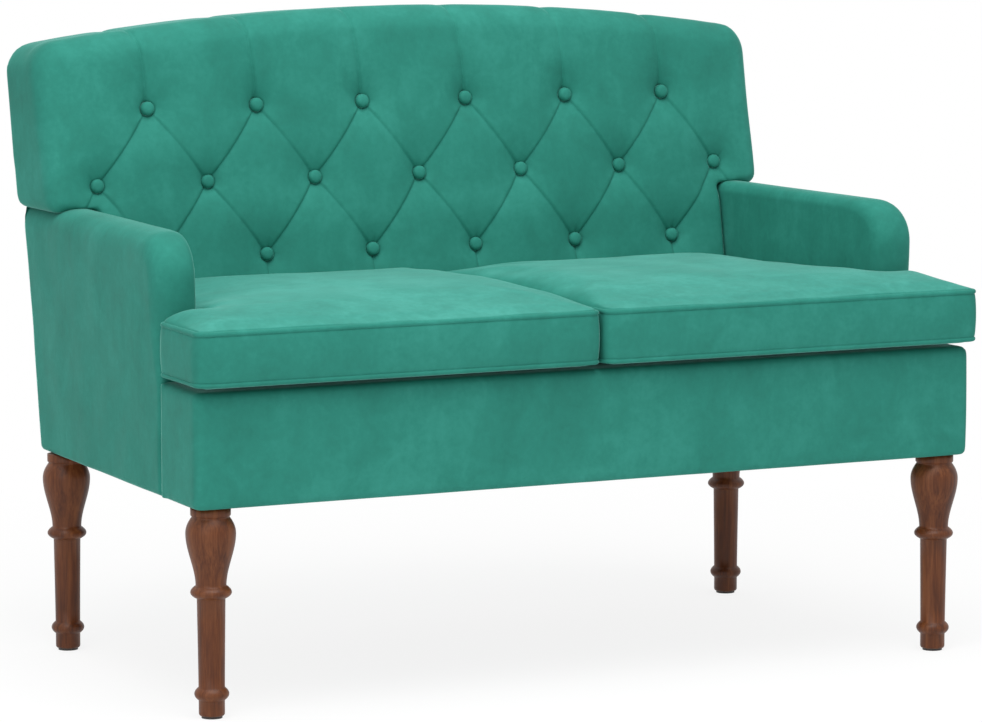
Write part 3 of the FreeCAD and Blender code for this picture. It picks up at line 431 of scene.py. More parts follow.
class Nodes:
    """Small helper to write a node material in a few lines."""

    def __init__(self, name):
        self.material = bpy.data.materials.new(name)
        self.material.use_nodes = True
        self.tree = self.material.node_tree
        self.shader = self.tree.nodes["Principled BSDF"]
        self.coordinates = self.tree.nodes.new("ShaderNodeTexCoord").outputs["Object"]

    def link(self, source, target):
        self.tree.links.new(source, target)

    def give(self, socket, value):
        """Set a socket to a value, or link it to another node's output."""
        if isinstance(value, (int, float, tuple)):
            socket.default_value = value
        else:
            self.link(value, socket)

    def add(self, kind, **values):
        """New node with its inputs given by name."""
        node = self.tree.nodes.new(kind)
        for name, value in values.items():
            self.give(node.inputs[name.replace("_", " ")], value)
        return node

    def noise(self, scale, detail=3.0, rough=0.5, distort=0.0, stretch=None):
        source = self.coordinates
        if stretch:
            source = self.add("ShaderNodeMapping", Scale=stretch, Vector=source).outputs["Vector"]
        node = self.add("ShaderNodeTexNoise", Scale=scale, Detail=detail, Roughness=rough, Distortion=distort)
        self.link(source, node.inputs["Vector"])
        return node.outputs["Fac"]

    def math(self, operation, first, second):
        node = self.tree.nodes.new("ShaderNodeMath")
        node.operation = operation
        for socket, value in zip(node.inputs, (first, second)):
            self.give(socket, value)
        return node.outputs["Value"]

    def blend(self, first, *others):
        """Sum of (source, share) pairs."""
        total = self.math("MULTIPLY", *first)
        for source, share in others:
            total = self.math("ADD", total, self.math("MULTIPLY", source, share))
        return total

    def ramp(self, source, stops):
        node = self.tree.nodes.new("ShaderNodeValToRGB")
        elements = node.color_ramp.elements
        while len(elements) < len(stops):
            elements.new(0.5)
        for element, (place, colour) in zip(elements, stops):
            element.position = place
            element.color = (*colour, 1.0)
        self.link(source, node.inputs["Fac"])
        return node.outputs["Color"]

    def span(self, source, low, high):
        return self.add("ShaderNodeMapRange", To_Min=low, To_Max=high, Value=source).outputs["Result"]

    def facing(self, axis):
        """How squarely the surface faces along an axis, either way."""
        place = self.tree.nodes.new("ShaderNodeNewGeometry")
        split = self.tree.nodes.new("ShaderNodeSeparateXYZ")
        self.link(place.outputs["Normal"], split.inputs["Vector"])
        return self.math("ABSOLUTE", split.outputs[axis], 0.0)

    def between(self, share, first, second):
        node = self.tree.nodes.new("ShaderNodeMix")
        node.data_type = "RGBA"
        self.link(share, node.inputs["Factor"])
        self.link(first, node.inputs["A"])
        self.link(second, node.inputs["B"])
        return node.outputs["Result"]

    def bump(self, height, strength, distance, below=None):
        node = self.add("ShaderNodeBump", Strength=strength, Distance=distance, Height=height)
        if below:
            self.link(below, node.inputs["Normal"])
        return node.outputs["Normal"]

    def set(self, **values):
        for name, value in values.items():
            self.give(self.shader.inputs[name.replace("_", " ")], value)
        return self.material


def velvet(name, painted_top_light):
    """Short-pile velvet: brushed patches, upright streaks, a fine pile and a sheen. The seat version paints surfaces
    that face up in a brighter copy of the colour, as painted light from above.
    """
    n = Nodes(name)
    clouds = n.noise(5.0, 3.0, 0.5, 0.8)
    patches = n.noise(21.0, 4.0, 0.6, 0.6)
    streaks = n.noise(1.0, 4.0, 0.6, 0.4, (50.0, 50.0, 13.0))
    sideways = n.facing("X")
    streak_strength = n.math("ADD", n.math("MULTIPLY", sideways, 0.06), 0.15)
    streaks = n.math("MULTIPLY", n.math("SUBTRACT", streaks, 0.5), streak_strength)
    flecks = n.noise(120.0, 3.0, 0.6)
    mix = n.math("ADD", n.blend((clouds, 0.38), (patches, 0.42), (flecks, 0.20)), streaks)
    colour = n.ramp(mix, (
        (0.28, (0.016, 0.160, 0.121)),
        (0.50, (0.022, 0.205, 0.158)),
        (0.72, (0.036, 0.262, 0.208)),
    ))
    # Painted highlight: where the surface faces up, the colour blends into a brighter copy, standing in for overhead
    # light and sheen on the tops.
    if painted_top_light:
        top_light_colour = n.ramp(mix, (
            (0.28, (0.030, 0.197, 0.156)),
            (0.50, (0.044, 0.266, 0.214)),
            (0.72, (0.070, 0.350, 0.291)),
        ))
        level = n.add("ShaderNodeMapRange", From_Min=0.80, From_Max=0.99, Value=n.facing("Z"))
        level.interpolation_type = "SMOOTHSTEP"
        colour = n.between(level.outputs["Result"], colour, top_light_colour)
    pile = n.noise(1400.0, 2.0, 0.6)
    lay = n.noise(150.0, 4.0, 0.65)
    normal = n.bump(pile, 0.10, 0.0006)
    normal = n.bump(lay, 0.12, 0.0012, normal)
    return n.set(
        Base_Color=colour,
        Roughness=n.span(patches, 0.74, 0.92),
        Specular_IOR_Level=0.2,
        Sheen_Weight=0.60,
        Sheen_Roughness=0.22,
        Sheen_Tint=(0.48, 1.0, 0.90, 1.0),
        Normal=normal,
    )


def leg_wood():
    """Red-brown stained hardwood, turned, with upright grain and fine pores."""
    n = Nodes("leg_wood")
    grain = n.noise(1.0, 6.0, 0.65, 0.8, (70.0, 70.0, 5.0))
    pores = n.noise(1.0, 3.0, 0.6, 0.0, (420.0, 420.0, 22.0))
    broad = n.noise(9.0, 3.0, 0.5, 0.3)
    mix = n.blend((grain, 0.6), (pores, 0.25), (broad, 0.15))
    colour = n.ramp(mix, (
        (0.34, (0.042, 0.0095, 0.0026)),
        (0.48, (0.104, 0.028, 0.0068)),
        (0.64, (0.184, 0.060, 0.0180)),
    ))
    normal = n.bump(pores, 0.18, 0.0004)
    return n.set(
        Base_Color=colour,
        Roughness=n.span(grain, 0.34, 0.55),
        Specular_IOR_Level=0.28,
        Coat_Weight=0.05,
        Coat_Roughness=0.3,
        Normal=normal,
    )


def plain_wood(name, dark, light):
    """Bare timber or board inside the frame."""
    n = Nodes(name)
    grain = n.noise(1.0, 5.0, 0.6, 0.6, (8.0, 60.0, 60.0))
    colour = n.ramp(grain, ((0.35, dark), (0.65, light)))
    return n.set(Base_Color=colour, Roughness=n.span(grain, 0.6, 0.8), Normal=n.bump(grain, 0.15, 0.0006))


def cloth(name, dark, light, weave):
    """Plain woven or felted cloth."""
    n = Nodes(name)
    threads = n.noise(weave, 2.0, 0.6)
    clouds = n.noise(14.0, 3.0, 0.5)
    colour = n.ramp(n.blend((threads, 0.5), (clouds, 0.5)), ((0.35, dark), (0.65, light)))
    return n.set(Base_Color=colour, Roughness=n.span(clouds, 0.8, 0.95), Normal=n.bump(threads, 0.25, 0.0006))


def steel():
    n = Nodes("steel")
    scuff = n.noise(160.0, 4.0, 0.6)
    colour = n.ramp(scuff, ((0.35, (0.45, 0.45, 0.44)), (0.65, (0.62, 0.61, 0.58))))
    return n.set(Base_Color=colour, Metallic=1.0, Roughness=n.span(scuff, 0.25, 0.45))


def glide_plastic():
    n = Nodes("glide_plastic")
    grain = n.noise(500.0, 2.0, 0.5)
    colour = n.ramp(grain, ((0.35, (0.020, 0.014, 0.011)), (0.65, (0.034, 0.025, 0.020))))
    return n.set(Base_Color=colour, Roughness=n.span(grain, 0.45, 0.6), Normal=n.bump(grain, 0.1, 0.0003))


MATERIALS = {
    "velvet": velvet("velvet", False),
    # The seat velvet has painted light: its up-facing surfaces are coloured brighter.
    "seat_velvet_painted_top_light": velvet("seat_velvet_painted_top_light", True),
    "leg_wood": leg_wood(),
    "frame_wood": plain_wood("frame_wood", (0.40, 0.27, 0.15), (0.58, 0.42, 0.26)),
    "hardboard": plain_wood("hardboard", (0.22, 0.13, 0.07), (0.31, 0.20, 0.11)),
    "foam": cloth("foam", (0.62, 0.58, 0.44), (0.74, 0.70, 0.56), 700.0),
    "webbing": cloth("webbing", (0.09, 0.085, 0.08), (0.16, 0.15, 0.14), 900.0),
    "dust_cloth": cloth("dust_cloth", (0.012, 0.012, 0.013), (0.028, 0.028, 0.030), 1100.0),
    "deck_cloth": cloth("deck_cloth", (0.030, 0.17, 0.135), (0.048, 0.235, 0.188), 1000.0),
    "steel": steel(),
    "glide_plastic": glide_plastic(),
}


def finish_piece(obj, slot, body, *nodes, fill=None, look=None):
    """Give a piece its material and slot, let it ride, and let it stand for its nodes."""
    obj.data.materials.clear()
    obj.data.materials.append(MATERIALS[look or slot])
    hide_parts(*nodes)
    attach(obj, body)
    return obj


def paint_frame():
    """Give every carried-over node its material."""
    for row in frame["record"]["subparts"]:
        obj = frame["nodes"][row["node"]]
        obj.data.materials.clear()
        obj.data.materials.append(MATERIALS[row["material_slot"]])


# Back


def back_outline(inset, low, low_waist, waist, step=0.006):
    """Front view of the back: head with two ears, and between the arms a part with its low and high half width."""
    ear = EAR_HALF_WIDTH - EAR_TRIM - inset
    low_ear = ear - EAR_TAPER
    notch = ARM_TOP + inset - EAR_SINK
    drop = notch - EAR_DROP
    ear_corner = EAR_CORNER - inset
    right = [(waist, notch, WAIST_CORNER), (EAR_BEND, notch, EAR_BEND_RADIUS), (low_ear, drop, ear_corner)]
    corners = [(-low_waist, low, WAIST_CORNER), (low_waist, low, WAIST_CORNER)] + right
    radius = (ear ** 2 + TOP_ARCH ** 2) / (2 * TOP_ARCH)
    last = ARCH_STATIONS - 1
    for station in range(ARCH_STATIONS):
        x = ear * (1 - 2 * station / last)
        z = CREST_TOP - inset - radius + math.sqrt(radius ** 2 - x ** 2)
        corner = TOP_CORNER - inset if station in (0, last) else 0
        corners.append((x, z, corner))
    corners += [(-x, z, corner) for x, z, corner in reversed(right)]
    return rounded_outline(corners, step)


def crest(x):
    """Distance of the crowned front of the back from its rear plane."""
    radius = (EAR_HALF_WIDTH ** 2 + BACK_CROWN ** 2) / (2 * BACK_CROWN)
    return BACK_THICKNESS - radius + np.sqrt(radius ** 2 - np.asarray(x) ** 2)


def button_places():
    """Rows of (across, height, distance from the rear plane) where the buttons seat."""
    rows = []
    for count, up in BUTTON_ROWS:
        row = []
        for index in range(count):
            x = (index - (count - 1) / 2) * BUTTON_PITCH
            out = float(crest(x)) - DIMPLE_DEPTH
            row.append((x, BASE_BOTTOM + up * math.cos(BACK_LEAN) + out * math.sin(BACK_LEAN), out))
        rows.append(row)
    return rows


def top_pleats():
    """Pleats from the first row over the top edge, as pleats() has them."""
    lines = []
    for x, z, _ in button_places()[0]:
        soft = float(smooth_step(x, -0.1, 0.3))
        end = (x - TOP_PLEAT_LEAN, CREST_TOP + TOP_PLEAT_PAST)
        lines.append(((x, z), end, 1.7, 1.1 - 0.6 * soft, 0.9 - 0.5 * soft))
    return lines


def pleats():
    """Sewn pleats in the front view: start, end (across, height), and the strength at start, middle and end."""
    rows = button_places()
    lines = []
    for upper, lower in zip(rows, rows[1:]):
        for start in upper:
            for end in lower:
                if abs(start[0] - end[0]) < BUTTON_PITCH:
                    right = float(smooth_step((start[0] + end[0]) / 2, -0.15, 0.25))
                    middle = 0.85 - 0.25 * right if end[0] < start[0] else 0.38 + 0.27 * right
                    lines.append((start[:2], end[:2], 1.0, middle, 1.0))
    lines += top_pleats()
    for x, z, _ in rows[-1]:
        lines.append(((x, z), (x, DECK_TOP), *FOOT_PLEAT))
    out, down = EAR_PLEAT_RUN
    for side in (1, -1):
        x, z, _ = rows[1][-1]
        lines.append(((side * x, z), (side * (x + out), z + down), *EAR_PLEAT))
    return lines


def pleat_offsets(x, z, start, end):
    """For each place: its share along a pleat, its distance from it, and the side that it is on."""
    run = np.array(end) - np.array(start)
    length = np.linalg.norm(run)
    run /= length
    along = np.clip((x - start[0]) * run[0] + (z - start[1]) * run[1], 0, length)
    away = np.hypot(x - start[0] - along * run[0], z - start[1] - along * run[1])
    turn = (x - start[0]) * run[1] - (z - start[1]) * run[0]
    upper = turn * (1 if run[0] <= 0 else -1) < 0
    return along / length, away, upper


def tuft_depth(x, z):
    """How far the cover is drawn in at each place of the front view, without the crown."""
    depth = np.zeros_like(x)
    for start, end, first, middle, last in pleats():
        share, away, upper = pleat_offsets(x, z, start, end)
        ends = np.where(share < 0.5, first, last)
        strength = middle + (ends - middle) * np.abs(2 * share - 1) ** 1.5
        fold = np.where(upper, CREASE_ROLL, CREASE_LAP)
        crease = CREASE_DEPTH * strength * np.exp(-away / fold)
        sag = SAG_DEPTH * strength * np.exp(-(away / SAG_REACH) ** 2)
        depth = np.maximum(depth, crease + sag)
    dimple = np.zeros_like(x)
    for row in button_places():
        for bx, bz, _ in row:
            away = np.hypot(x - bx, z - bz)
            ring = RING_DEPTH * (1 - smooth_step(away, RING_INNER, RING_OUTER))
            beyond = np.maximum(away - RING_INNER, 0)
            hollow = HOLLOW_DEPTH * np.exp(-beyond / HOLLOW_REACH)
            broad = BROAD_DEPTH * np.exp(-(beyond / BROAD_REACH) ** 2)
            dimple = np.maximum(dimple, ring + (hollow + broad))
    return depth + dimple


def refine(obj, wanted, cuts):
    """Split the quads whose middles are wanted."""
    mesh = bmesh.new()
    mesh.from_mesh(obj.data)
    mesh.faces.ensure_lookup_table()
    centres = np.array([face.calc_center_median() for face in mesh.faces])
    chosen = np.nonzero(wanted(centres))[0]
    edges = {edge for index in chosen for edge in mesh.faces[index].edges}
    bmesh.ops.subdivide_edges(mesh, edges=list(edges), cuts=cuts, use_grid_fill=True)
    mesh.to_mesh(obj.data)
    mesh.free()
    return obj


def near_pleats(centres, reach):
    """Which places on the front of the pad, still upright, are near a pleat or a button."""
    x, z = centres[:, 0], centres[:, 2]
    near = np.zeros(len(x), bool)
    for start, end, *_ in pleats():
        _, away, _ = pleat_offsets(x, z, start, end)
        near |= away < reach
    for row in button_places():
        for bx, bz, _ in row:
            near |= np.hypot(x - bx, z - bz) < 2 * reach
    return near & (centres[:, 1] < -BACK_THICKNESS * 0.6)


def leaned(points):
    """Turn (across, minus the distance from the rear plane, height) into places in the frame."""
    placed = np.array(points)
    placed[:, 1] = rear_plane(points[:, 2]) + points[:, 1] / math.cos(BACK_LEAN)
    return placed


def back_rim(outline):
    """Radius of the pad's front edge round its outline: full at the top, small beside and on the arms."""
    out = smooth_step(np.abs(outline[:, 0]), EAR_HALF_WIDTH - 0.06, EAR_HALF_WIDTH - 0.03)
    low = 1 - smooth_step(outline[:, 1], ARM_TOP + 0.005, ARM_TOP + 0.04 + 0.10 * out)
    high = smooth_step(outline[:, 1], CREST_TOP - 0.10, CREST_TOP - 0.05)
    low_edge = BACK_LOW_EDGE + (EAR_CORNER - BACK_LOW_EDGE) * out
    fuller = (BACK_TOP_EDGE - BACK_FRONT_EDGE) * high * (1 - out)
    return BACK_FRONT_EDGE + (low_edge - BACK_FRONT_EDGE) * low + fuller


def make_back():
    """The tufted pad: made upright, drawn in at its pleats and buttons, then leaned."""
    middle = rear_plane(ARM_TOP) - BACK_THICKNESS / 2
    half = inner_x(middle) - BACK_GAP
    outline = back_outline(0.0, DECK_TOP + 0.001, half, half)
    rim = back_rim(outline)
    pad = slab("back_pad", outline, -BACK_THICKNESS, -0.001, rim, BACK_REAR_EDGE, lambda u, v, d: (u, d, v))
    pad = remeshed(pad, VOXEL, 6)
    pad = refine(pad, lambda c: near_pleats(c, PLEAT_REACH), 3)
    points = coordinates(pad)
    x, z = points[:, 0], points[:, 2]
    front = smooth_step(-points[:, 1], 0.35 * BACK_THICKNESS, 0.8 * BACK_THICKNESS)
    roll_share = np.interp(z, (ARM_TOP, CREST_TOP), EAR_ROLL_SHARES)
    ear_roll = EAR_ROLL * roll_share * smooth_step(np.abs(x), *EAR_ROLL_SPAN)
    drawn = tuft_depth(x, z) + (BACK_THICKNESS - crest(x)) + ear_roll
    arch = CREST_TOP - TOP_ARCH * (x / EAR_HALF_WIDTH) ** 2
    behind = np.clip(1 + points[:, 1] / BACK_THICKNESS, 0, 1)
    fall = TOP_TILT * behind * smooth_step(z, arch - 0.09, arch - 0.01)
    for _, end, *_ in top_pleats():
        notch = np.exp(-np.abs(x - end[0]) / NOTCH_REACH)
        fall += TOP_NOTCH * notch * smooth_step(z, arch - 0.035, arch - 0.005)
    points[:, 1] += front * (drawn - BACK_UNEVEN * wave(points, 11.0, 1))
    points[:, 2] -= fall
    waist = smooth_step(np.abs(x), 0.40, 0.50) * (1 - smooth_step(z, ARM_TOP - 0.02, ARM_TOP))
    placed = leaned(points)
    placed[:, 0] *= 1 + waist * (inner_x(placed[:, 1]) / inner_x(middle) - 1)
    set_coordinates(pad, placed)
    return finish_piece(pad, "velvet", "settee", "back_cover", "back_foam", fill=0.8)


def make_buttons():
    """Covered buttons, square to the leaning back."""
    pieces = []
    profile = [(max(BUTTON_TIP, BUTTON_RADIUS * r), BUTTON_HEIGHT * h) for r, h in BUTTON_SHAPE]
    turn = Matrix.Rotation(math.pi / 2 - BACK_LEAN, 4, "X")
    for row in button_places():
        for x, z, out in row:
            button = turned("button", profile, 0, 0, 36)
            seat = Vector((x, rear_plane(z) - out / math.cos(BACK_LEAN), z))
            button.data.transform(Matrix.Translation(seat) @ turn)
            pieces.append(button)
    buttons = joined("covered_buttons", pieces)
    return finish_piece(buttons, "velvet", "settee", "tufting_buttons", fill=1.0)


def make_outside_back():
    """The panel that closes the rear of the back and hides the frame."""
    low = PANEL_LOW.z
    halves = [inner_x(rear_plane(z)) - PANEL_ROOM for z in (low, ARM_TOP)]
    outline = back_outline(PANEL_MARGIN, low, *halves)
    inside = -PANEL_THICKNESS - PANEL_LAP
    panel = slab("outside_back", outline, inside, 0.0, SHARP_EDGE, PANEL_EDGE, lambda u, v, d: (u, d, v))
    panel = remeshed(panel, PANEL_VOXEL, 2)
    set_coordinates(panel, leaned(coordinates(panel)))
    return finish_piece(panel, "velvet", "settee", "back_outside_panel", fill=0.9)


# Arms


def arm_edges(outline, front, rear):
    """Radii of an arm's inner and outer edge round its side view: small at the base, the apron and the rear."""
    deep, height = outline.T
    soft = smooth_step(height, BASE_BOTTOM + 0.01, BASE_BOTTOM + 0.03)
    soft *= 1 - smooth_step(deep, rear - 0.02, rear)
    soft *= np.where(deep < front + 0.001, smooth_step(height, DECK_TOP - 0.02, TOP_SEAM), 1.0)
    edge = ARM_HEM + (ARM_EDGE - ARM_HEM) * soft
    crest_run = smooth_step(deep, front + 0.5 * ARM_NOSE, front + 1.5 * ARM_NOSE) * (height > ARM_TOP - 0.01)
    inner_edge = edge + (ARM_CREST_EDGE - ARM_EDGE) * soft * crest_run
    outer_edge = ARM_HEM + (ARM_OUTER_EDGE - ARM_HEM) * soft
    return inner_edge, outer_edge


def make_arms():
    """The right arm, cut off at the rear plane, and its mirror image."""
    front = ARM_LOW.y
    rear = rear_plane(ARM_TOP) + ARM_SPARE
    corners = [
        (front, BASE_BOTTOM, ARM_FOOT_CORNER),
        (rear, BASE_BOTTOM, 0.0),
        (rear, ARM_TOP, 0.0),
        (front, ARM_TOP, ARM_NOSE),
    ]
    outline = rounded_outline(corners, 0.005)
    inner_edge, outer_edge = arm_edges(outline, front, rear)
    arm = slab("right_arm", outline, -ARM_THICKNESS, 0.0, inner_edge, outer_edge, lambda u, v, d: (d, u, v))
    arm = remeshed(arm, VOXEL, 4)
    points = coordinates(arm)
    across = points[:, 0].copy()
    height = (points[:, 2] - BASE_BOTTOM) / (ARM_TOP - BASE_BOTTOM)
    depth = (points[:, 1] - front) / (rear - front)
    outer = smooth_step(across, -0.6 * ARM_THICKNESS, -0.1 * ARM_THICKNESS)
    inner = 1 - smooth_step(across, -0.9 * ARM_THICKNESS, -0.4 * ARM_THICKNESS)
    flare = ARM_FLARE * smooth_step(height, 0.35, 0.95)
    full = ARM_SWELL * np.sin(np.clip(depth, 0, 1) * math.pi) * np.sin(np.clip(height, 0, 1) * math.pi)
    points[:, 0] += outer * (flare + full) - inner * full
    points[:, 0] += ARM_UNEVEN * wave(points, 14.0, 3)
    points[:, 0] += side_x(front) - (points[:, 1] - front) * math.tan(SIDE_TAPER)
    points[:, 1] = np.minimum(points[:, 1], rear_plane(points[:, 2]) - 0.0005)
    set_coordinates(arm, points)
    left = mirrored(arm, "left_arm")
    finish_piece(arm, "velvet", "settee", "right_arm_cover", fill=0.85)
    finish_piece(left, "velvet", "settee", "left_arm_cover", fill=0.85)


def make_apron():
    """The padded block across the front, open to the frame behind."""
    wide = side_x(APRON_FRONT)
    narrow = side_x(APRON_REAR)
    corners = [
        (-wide, APRON_FRONT, APRON_CORNER),
        (wide, APRON_FRONT, APRON_CORNER),
        (narrow, APRON_REAR, 0.0),
        (-narrow, APRON_REAR, 0.0),
    ]
    outline = rounded_outline(corners, 0.006)
    open_rear = 1 - smooth_step(outline[:, 1], APRON_REAR - 0.012, APRON_REAR - 0.002)
    low_edge = SHARP_EDGE + (APRON_LOW_EDGE - SHARP_EDGE) * open_rear
    top_edge = SHARP_EDGE + (APRON_TOP_EDGE - SHARP_EDGE) * open_rear
    apron = slab("front_apron", outline, BASE_BOTTOM, DECK_TOP, low_edge, top_edge, lambda u, v, d: (u, v, d))
    apron = remeshed(apron, FINE_VOXEL, 2)
    points = coordinates(apron)
    height = (points[:, 2] - BASE_BOTTOM) / (DECK_TOP - BASE_BOTTOM)
    front = 1 - smooth_step(points[:, 1], APRON_FRONT, APRON_FRONT + 0.05)
    full = APRON_SWELL * np.sin(np.clip(height, 0, 1) * math.pi)
    points[:, 1] -= front * (full + APRON_UNEVEN * wave(points, 9.0, 5))
    set_coordinates(apron, points)
    return finish_piece(apron, "velvet", "settee", "apron_cover", fill=0.8)


# Seat


def cushion_rear(z):
    """Where a cushion's rear seam is at height z, clear of the back."""
    return rear_plane(z) - BACK_THICKNESS / math.cos(BACK_LEAN) - CUSHION_GAP


def cushion_outline(inset, level, step):
    """Plan of the right cushion: a wing in front of the arm, and the part between arm and middle."""
    front = CUSHION_FRONT + inset
    rear = cushion_rear(level) - inset
    wing = APRON_REAR - CUSHION_GAP - inset
    middle = CUSHION_SPLIT + WELT_RADIUS + inset
    clear = CUSHION_GAP + inset
    corner = CUSHION_CORNER - inset
    corners = [
        (middle, front, corner),
        (side_x(front) - inset, front, corner),
        (side_x(wing) - inset, wing, corner),
        (inner_x(wing) - clear, wing, CUSHION_NOTCH + inset),
        (inner_x(rear) - clear, rear, corner),
        (middle, rear, corner),
    ]
    return rounded_outline(corners, step)


def edge_distance(points, outline):
    """Distance of each point (x, y) from an outline."""
    best = np.full(len(points), 9.0)
    for start, end in zip(outline, np.roll(outline, -1, axis=0)):
        run = end - start
        share = np.clip(((points - start) @ run) / (run @ run), 0, 1)
        best = np.minimum(best, np.linalg.norm(points - start - share[:, None] * run, axis=1))
    return best


def wall_normals(points, outline):
    """Normals, pointing inside, of the parts of the outline that are nearest to the points."""
    normals = inward(outline)
    nearest = np.empty(len(points), int)
    batch = 4000
    for first in range(0, len(points), batch):
        gaps = points[first:first + batch, None, :2] - outline[None]
        nearest[first:first + batch] = np.argmin((gaps ** 2).sum(axis=2), axis=1)
    return normals[nearest]


def spread(obj, values, held, rounds):
    """Even out values over the mesh, with none at the held points."""
    ends = np.empty(len(obj.data.edges) * 2, int)
    obj.data.edges.foreach_get("vertices", ends)
    first, second = ends.reshape(-1, 2).T
    count = np.bincount(ends, minlength=len(values))[:, None]
    free = ~held[:, None]
    for _ in range(rounds):
        total = np.zeros_like(values)
        np.add.at(total, first, values[second])
        np.add.at(total, second, values[first])
        values = free * (values + total / count) / 2
    return values


def inflate(obj, held, cap):
    """Let air pressure fill a sewn cover, with its seams held, and limit how far any point moves."""
    start = coordinates(obj).copy()
    seams = obj.vertex_groups.new(name="seams")
    seams.add([int(index) for index in np.nonzero(held)[0]], 1.0, "REPLACE")
    cover = obj.modifiers.new("cover", "CLOTH")
    cover.settings.quality = 5
    cover.settings.mass = 0.4
    cover.settings.tension_stiffness = 12
    cover.settings.compression_stiffness = 12
    cover.settings.shear_stiffness = 6
    cover.settings.bending_stiffness = 0.4
    cover.settings.use_pressure = True
    cover.settings.uniform_pressure_force = 4.0
    cover.settings.vertex_group_mass = "seams"
    cover.settings.effector_weights.gravity = 0.0
    cover.collision_settings.use_collision = False
    cover.point_cache.frame_start = 1
    cover.point_cache.frame_end = 20
    for number in range(1, 21):
        bpy.context.scene.frame_set(number)
    bake(obj)
    bpy.context.scene.frame_set(1)
    moved = spread(obj, coordinates(obj) - start, held, 14)
    length = np.linalg.norm(moved, axis=1)
    scale = np.where(length > 1e-9, np.minimum(1.0, cap * np.tanh(length / cap) / np.maximum(length, 1e-9)), 1.0)
    set_coordinates(obj, start + moved * scale[:, None])
    return obj


def cushion_crown(points):
    """Rise of the top above its seam: low at the front, beside the arm and at the tip of the wing."""
    rear = cushion_rear(TOP_SEAM)
    deep = (points[:, 1] - CUSHION_FRONT) / (rear - CUSHION_FRONT)
    shares, rises = zip(*CUSHION_CROWNS)
    along = np.interp(deep, shares, rises)
    along = along * (1 - (1 - CROWN_AT_TIP) * smooth_step(points[:, 0], *WING_FALL))
    behind_wing = smooth_step(points[:, 1], APRON_REAR, APRON_REAR + ARM_FALL_DEPTH)
    beside_arm = smooth_step(points[:, 0], *ARM_FALL) * behind_wing
    return along * (1 - CROWN_LOST_AT_ARM * beside_arm)


def beside_neighbours(points):
    """Press the right cushion's sides flat where the other cushion, the arm or the back is."""
    placed = points.copy()
    placed[:, 0] = np.maximum(placed[:, 0], NEIGHBOUR_ROOM)
    behind_wing = placed[:, 1] > APRON_REAR
    arm = inner_x(placed[:, 1]) - NEIGHBOUR_ROOM
    placed[:, 0] = np.where(behind_wing, np.minimum(placed[:, 0], arm), placed[:, 0])
    back = cushion_rear(placed[:, 2]) + CUSHION_GAP - NEIGHBOUR_ROOM
    placed[:, 1] = np.minimum(placed[:, 1], back)
    wing = (placed[:, 0] > inner_x(APRON_REAR)) & ~behind_wing
    placed[:, 1] = np.where(wing, np.minimum(placed[:, 1], APRON_REAR - NEIGHBOUR_ROOM), placed[:, 1])
    return placed


def make_cushion():
    """Cover of the right cushion: crowned, its boxing bulged, its underside tucked, then filled."""
    outline = cushion_outline(-CORD_BURIED, TOP_SEAM, 0.006)
    low = CUSHION_BOTTOM
    high = TOP_SEAM + CORD_COVER
    cushion = slab("right_cushion", outline, low, high, UNDER_EDGE, CORD_COVER, lambda u, v, d: (u, v, d))
    cushion = remeshed(cushion, VOXEL, 2)
    points = coordinates(cushion)
    away = edge_distance(points[:, :2], outline)
    top = smooth_step(points[:, 2], TOP_SEAM - 0.002, TOP_SEAM + 0.5 * CORD_COVER)
    points[:, 2] += top * cushion_crown(points) * (1 - np.exp(-away / CROWN_REACH))
    boxing = np.clip((points[:, 2] - BOTTOM_SEAM) / (TOP_SEAM - BOTTOM_SEAM), 0, 1)
    under = np.clip((BOTTOM_SEAM + 0.002 - points[:, 2]) / (BOTTOM_SEAM - low), 0, 1)
    swell = BOXING_BULGE * 4 * boxing * (1 - boxing) - UNDER_TUCK * under
    points[:, 2] += under * (BOTTOM_SEAM - WELT_RADIUS - low) * np.exp(-away / UNDER_REACH)
    points[:, :2] -= (swell * np.exp(-away / BULGE_REACH))[:, None] * wall_normals(points, outline)
    set_coordinates(cushion, points)
    seam = (np.abs(points[:, 2] - TOP_SEAM) < SEAM_BAND) & (away < SEAM_DEPTH)
    seam |= (np.abs(points[:, 2] - BOTTOM_SEAM) < SEAM_BAND) & (away < SEAM_DEPTH)
    seam |= under > 0.2
    inflate(cushion, seam, PRESSURE_CAP)
    points = coordinates(cushion)
    points[:, 2] += top * CUSHION_UNEVEN * wave(points, 13.0, 8)
    set_coordinates(cushion, beside_neighbours(points))
    fine = cushion.modifiers.new("fine", "SUBSURF")
    fine.levels = 1
    fine.render_levels = 1
    return bake(cushion)


def make_cushions():
    """Both cushions, each with its two welt cords."""
    right = make_cushion()
    left = mirrored(right, "left_cushion")
    for side, cushion, sign in (("right", right, 1.0), ("left", left, -1.0)):
        body = side + "_cushion"
        # The cushion covers use the velvet with painted light on their up-facing tops.
        finish_piece(cushion, "velvet", body, side + "_cushion_cover", side + "_cushion_foam", fill=0.85,
                     look="seat_velvet_painted_top_light")
        for seam, level in (("top", TOP_SEAM), ("bottom", BOTTOM_SEAM)):
            plan = cushion_outline(0.0, level, 0.004)
            path = np.column_stack([sign * plan[:, 0], plan[:, 1], np.full(len(plan), level)])
            if sign < 0:
                path = path[::-1]
            cord = tube("%s_%s_welt" % (side, seam), path, WELT_RADIUS, WELT_SIDES, WELT_UNEVEN)
            finish_piece(cord, "velvet", body, "%s_cushion_%s_welt" % (side, seam))


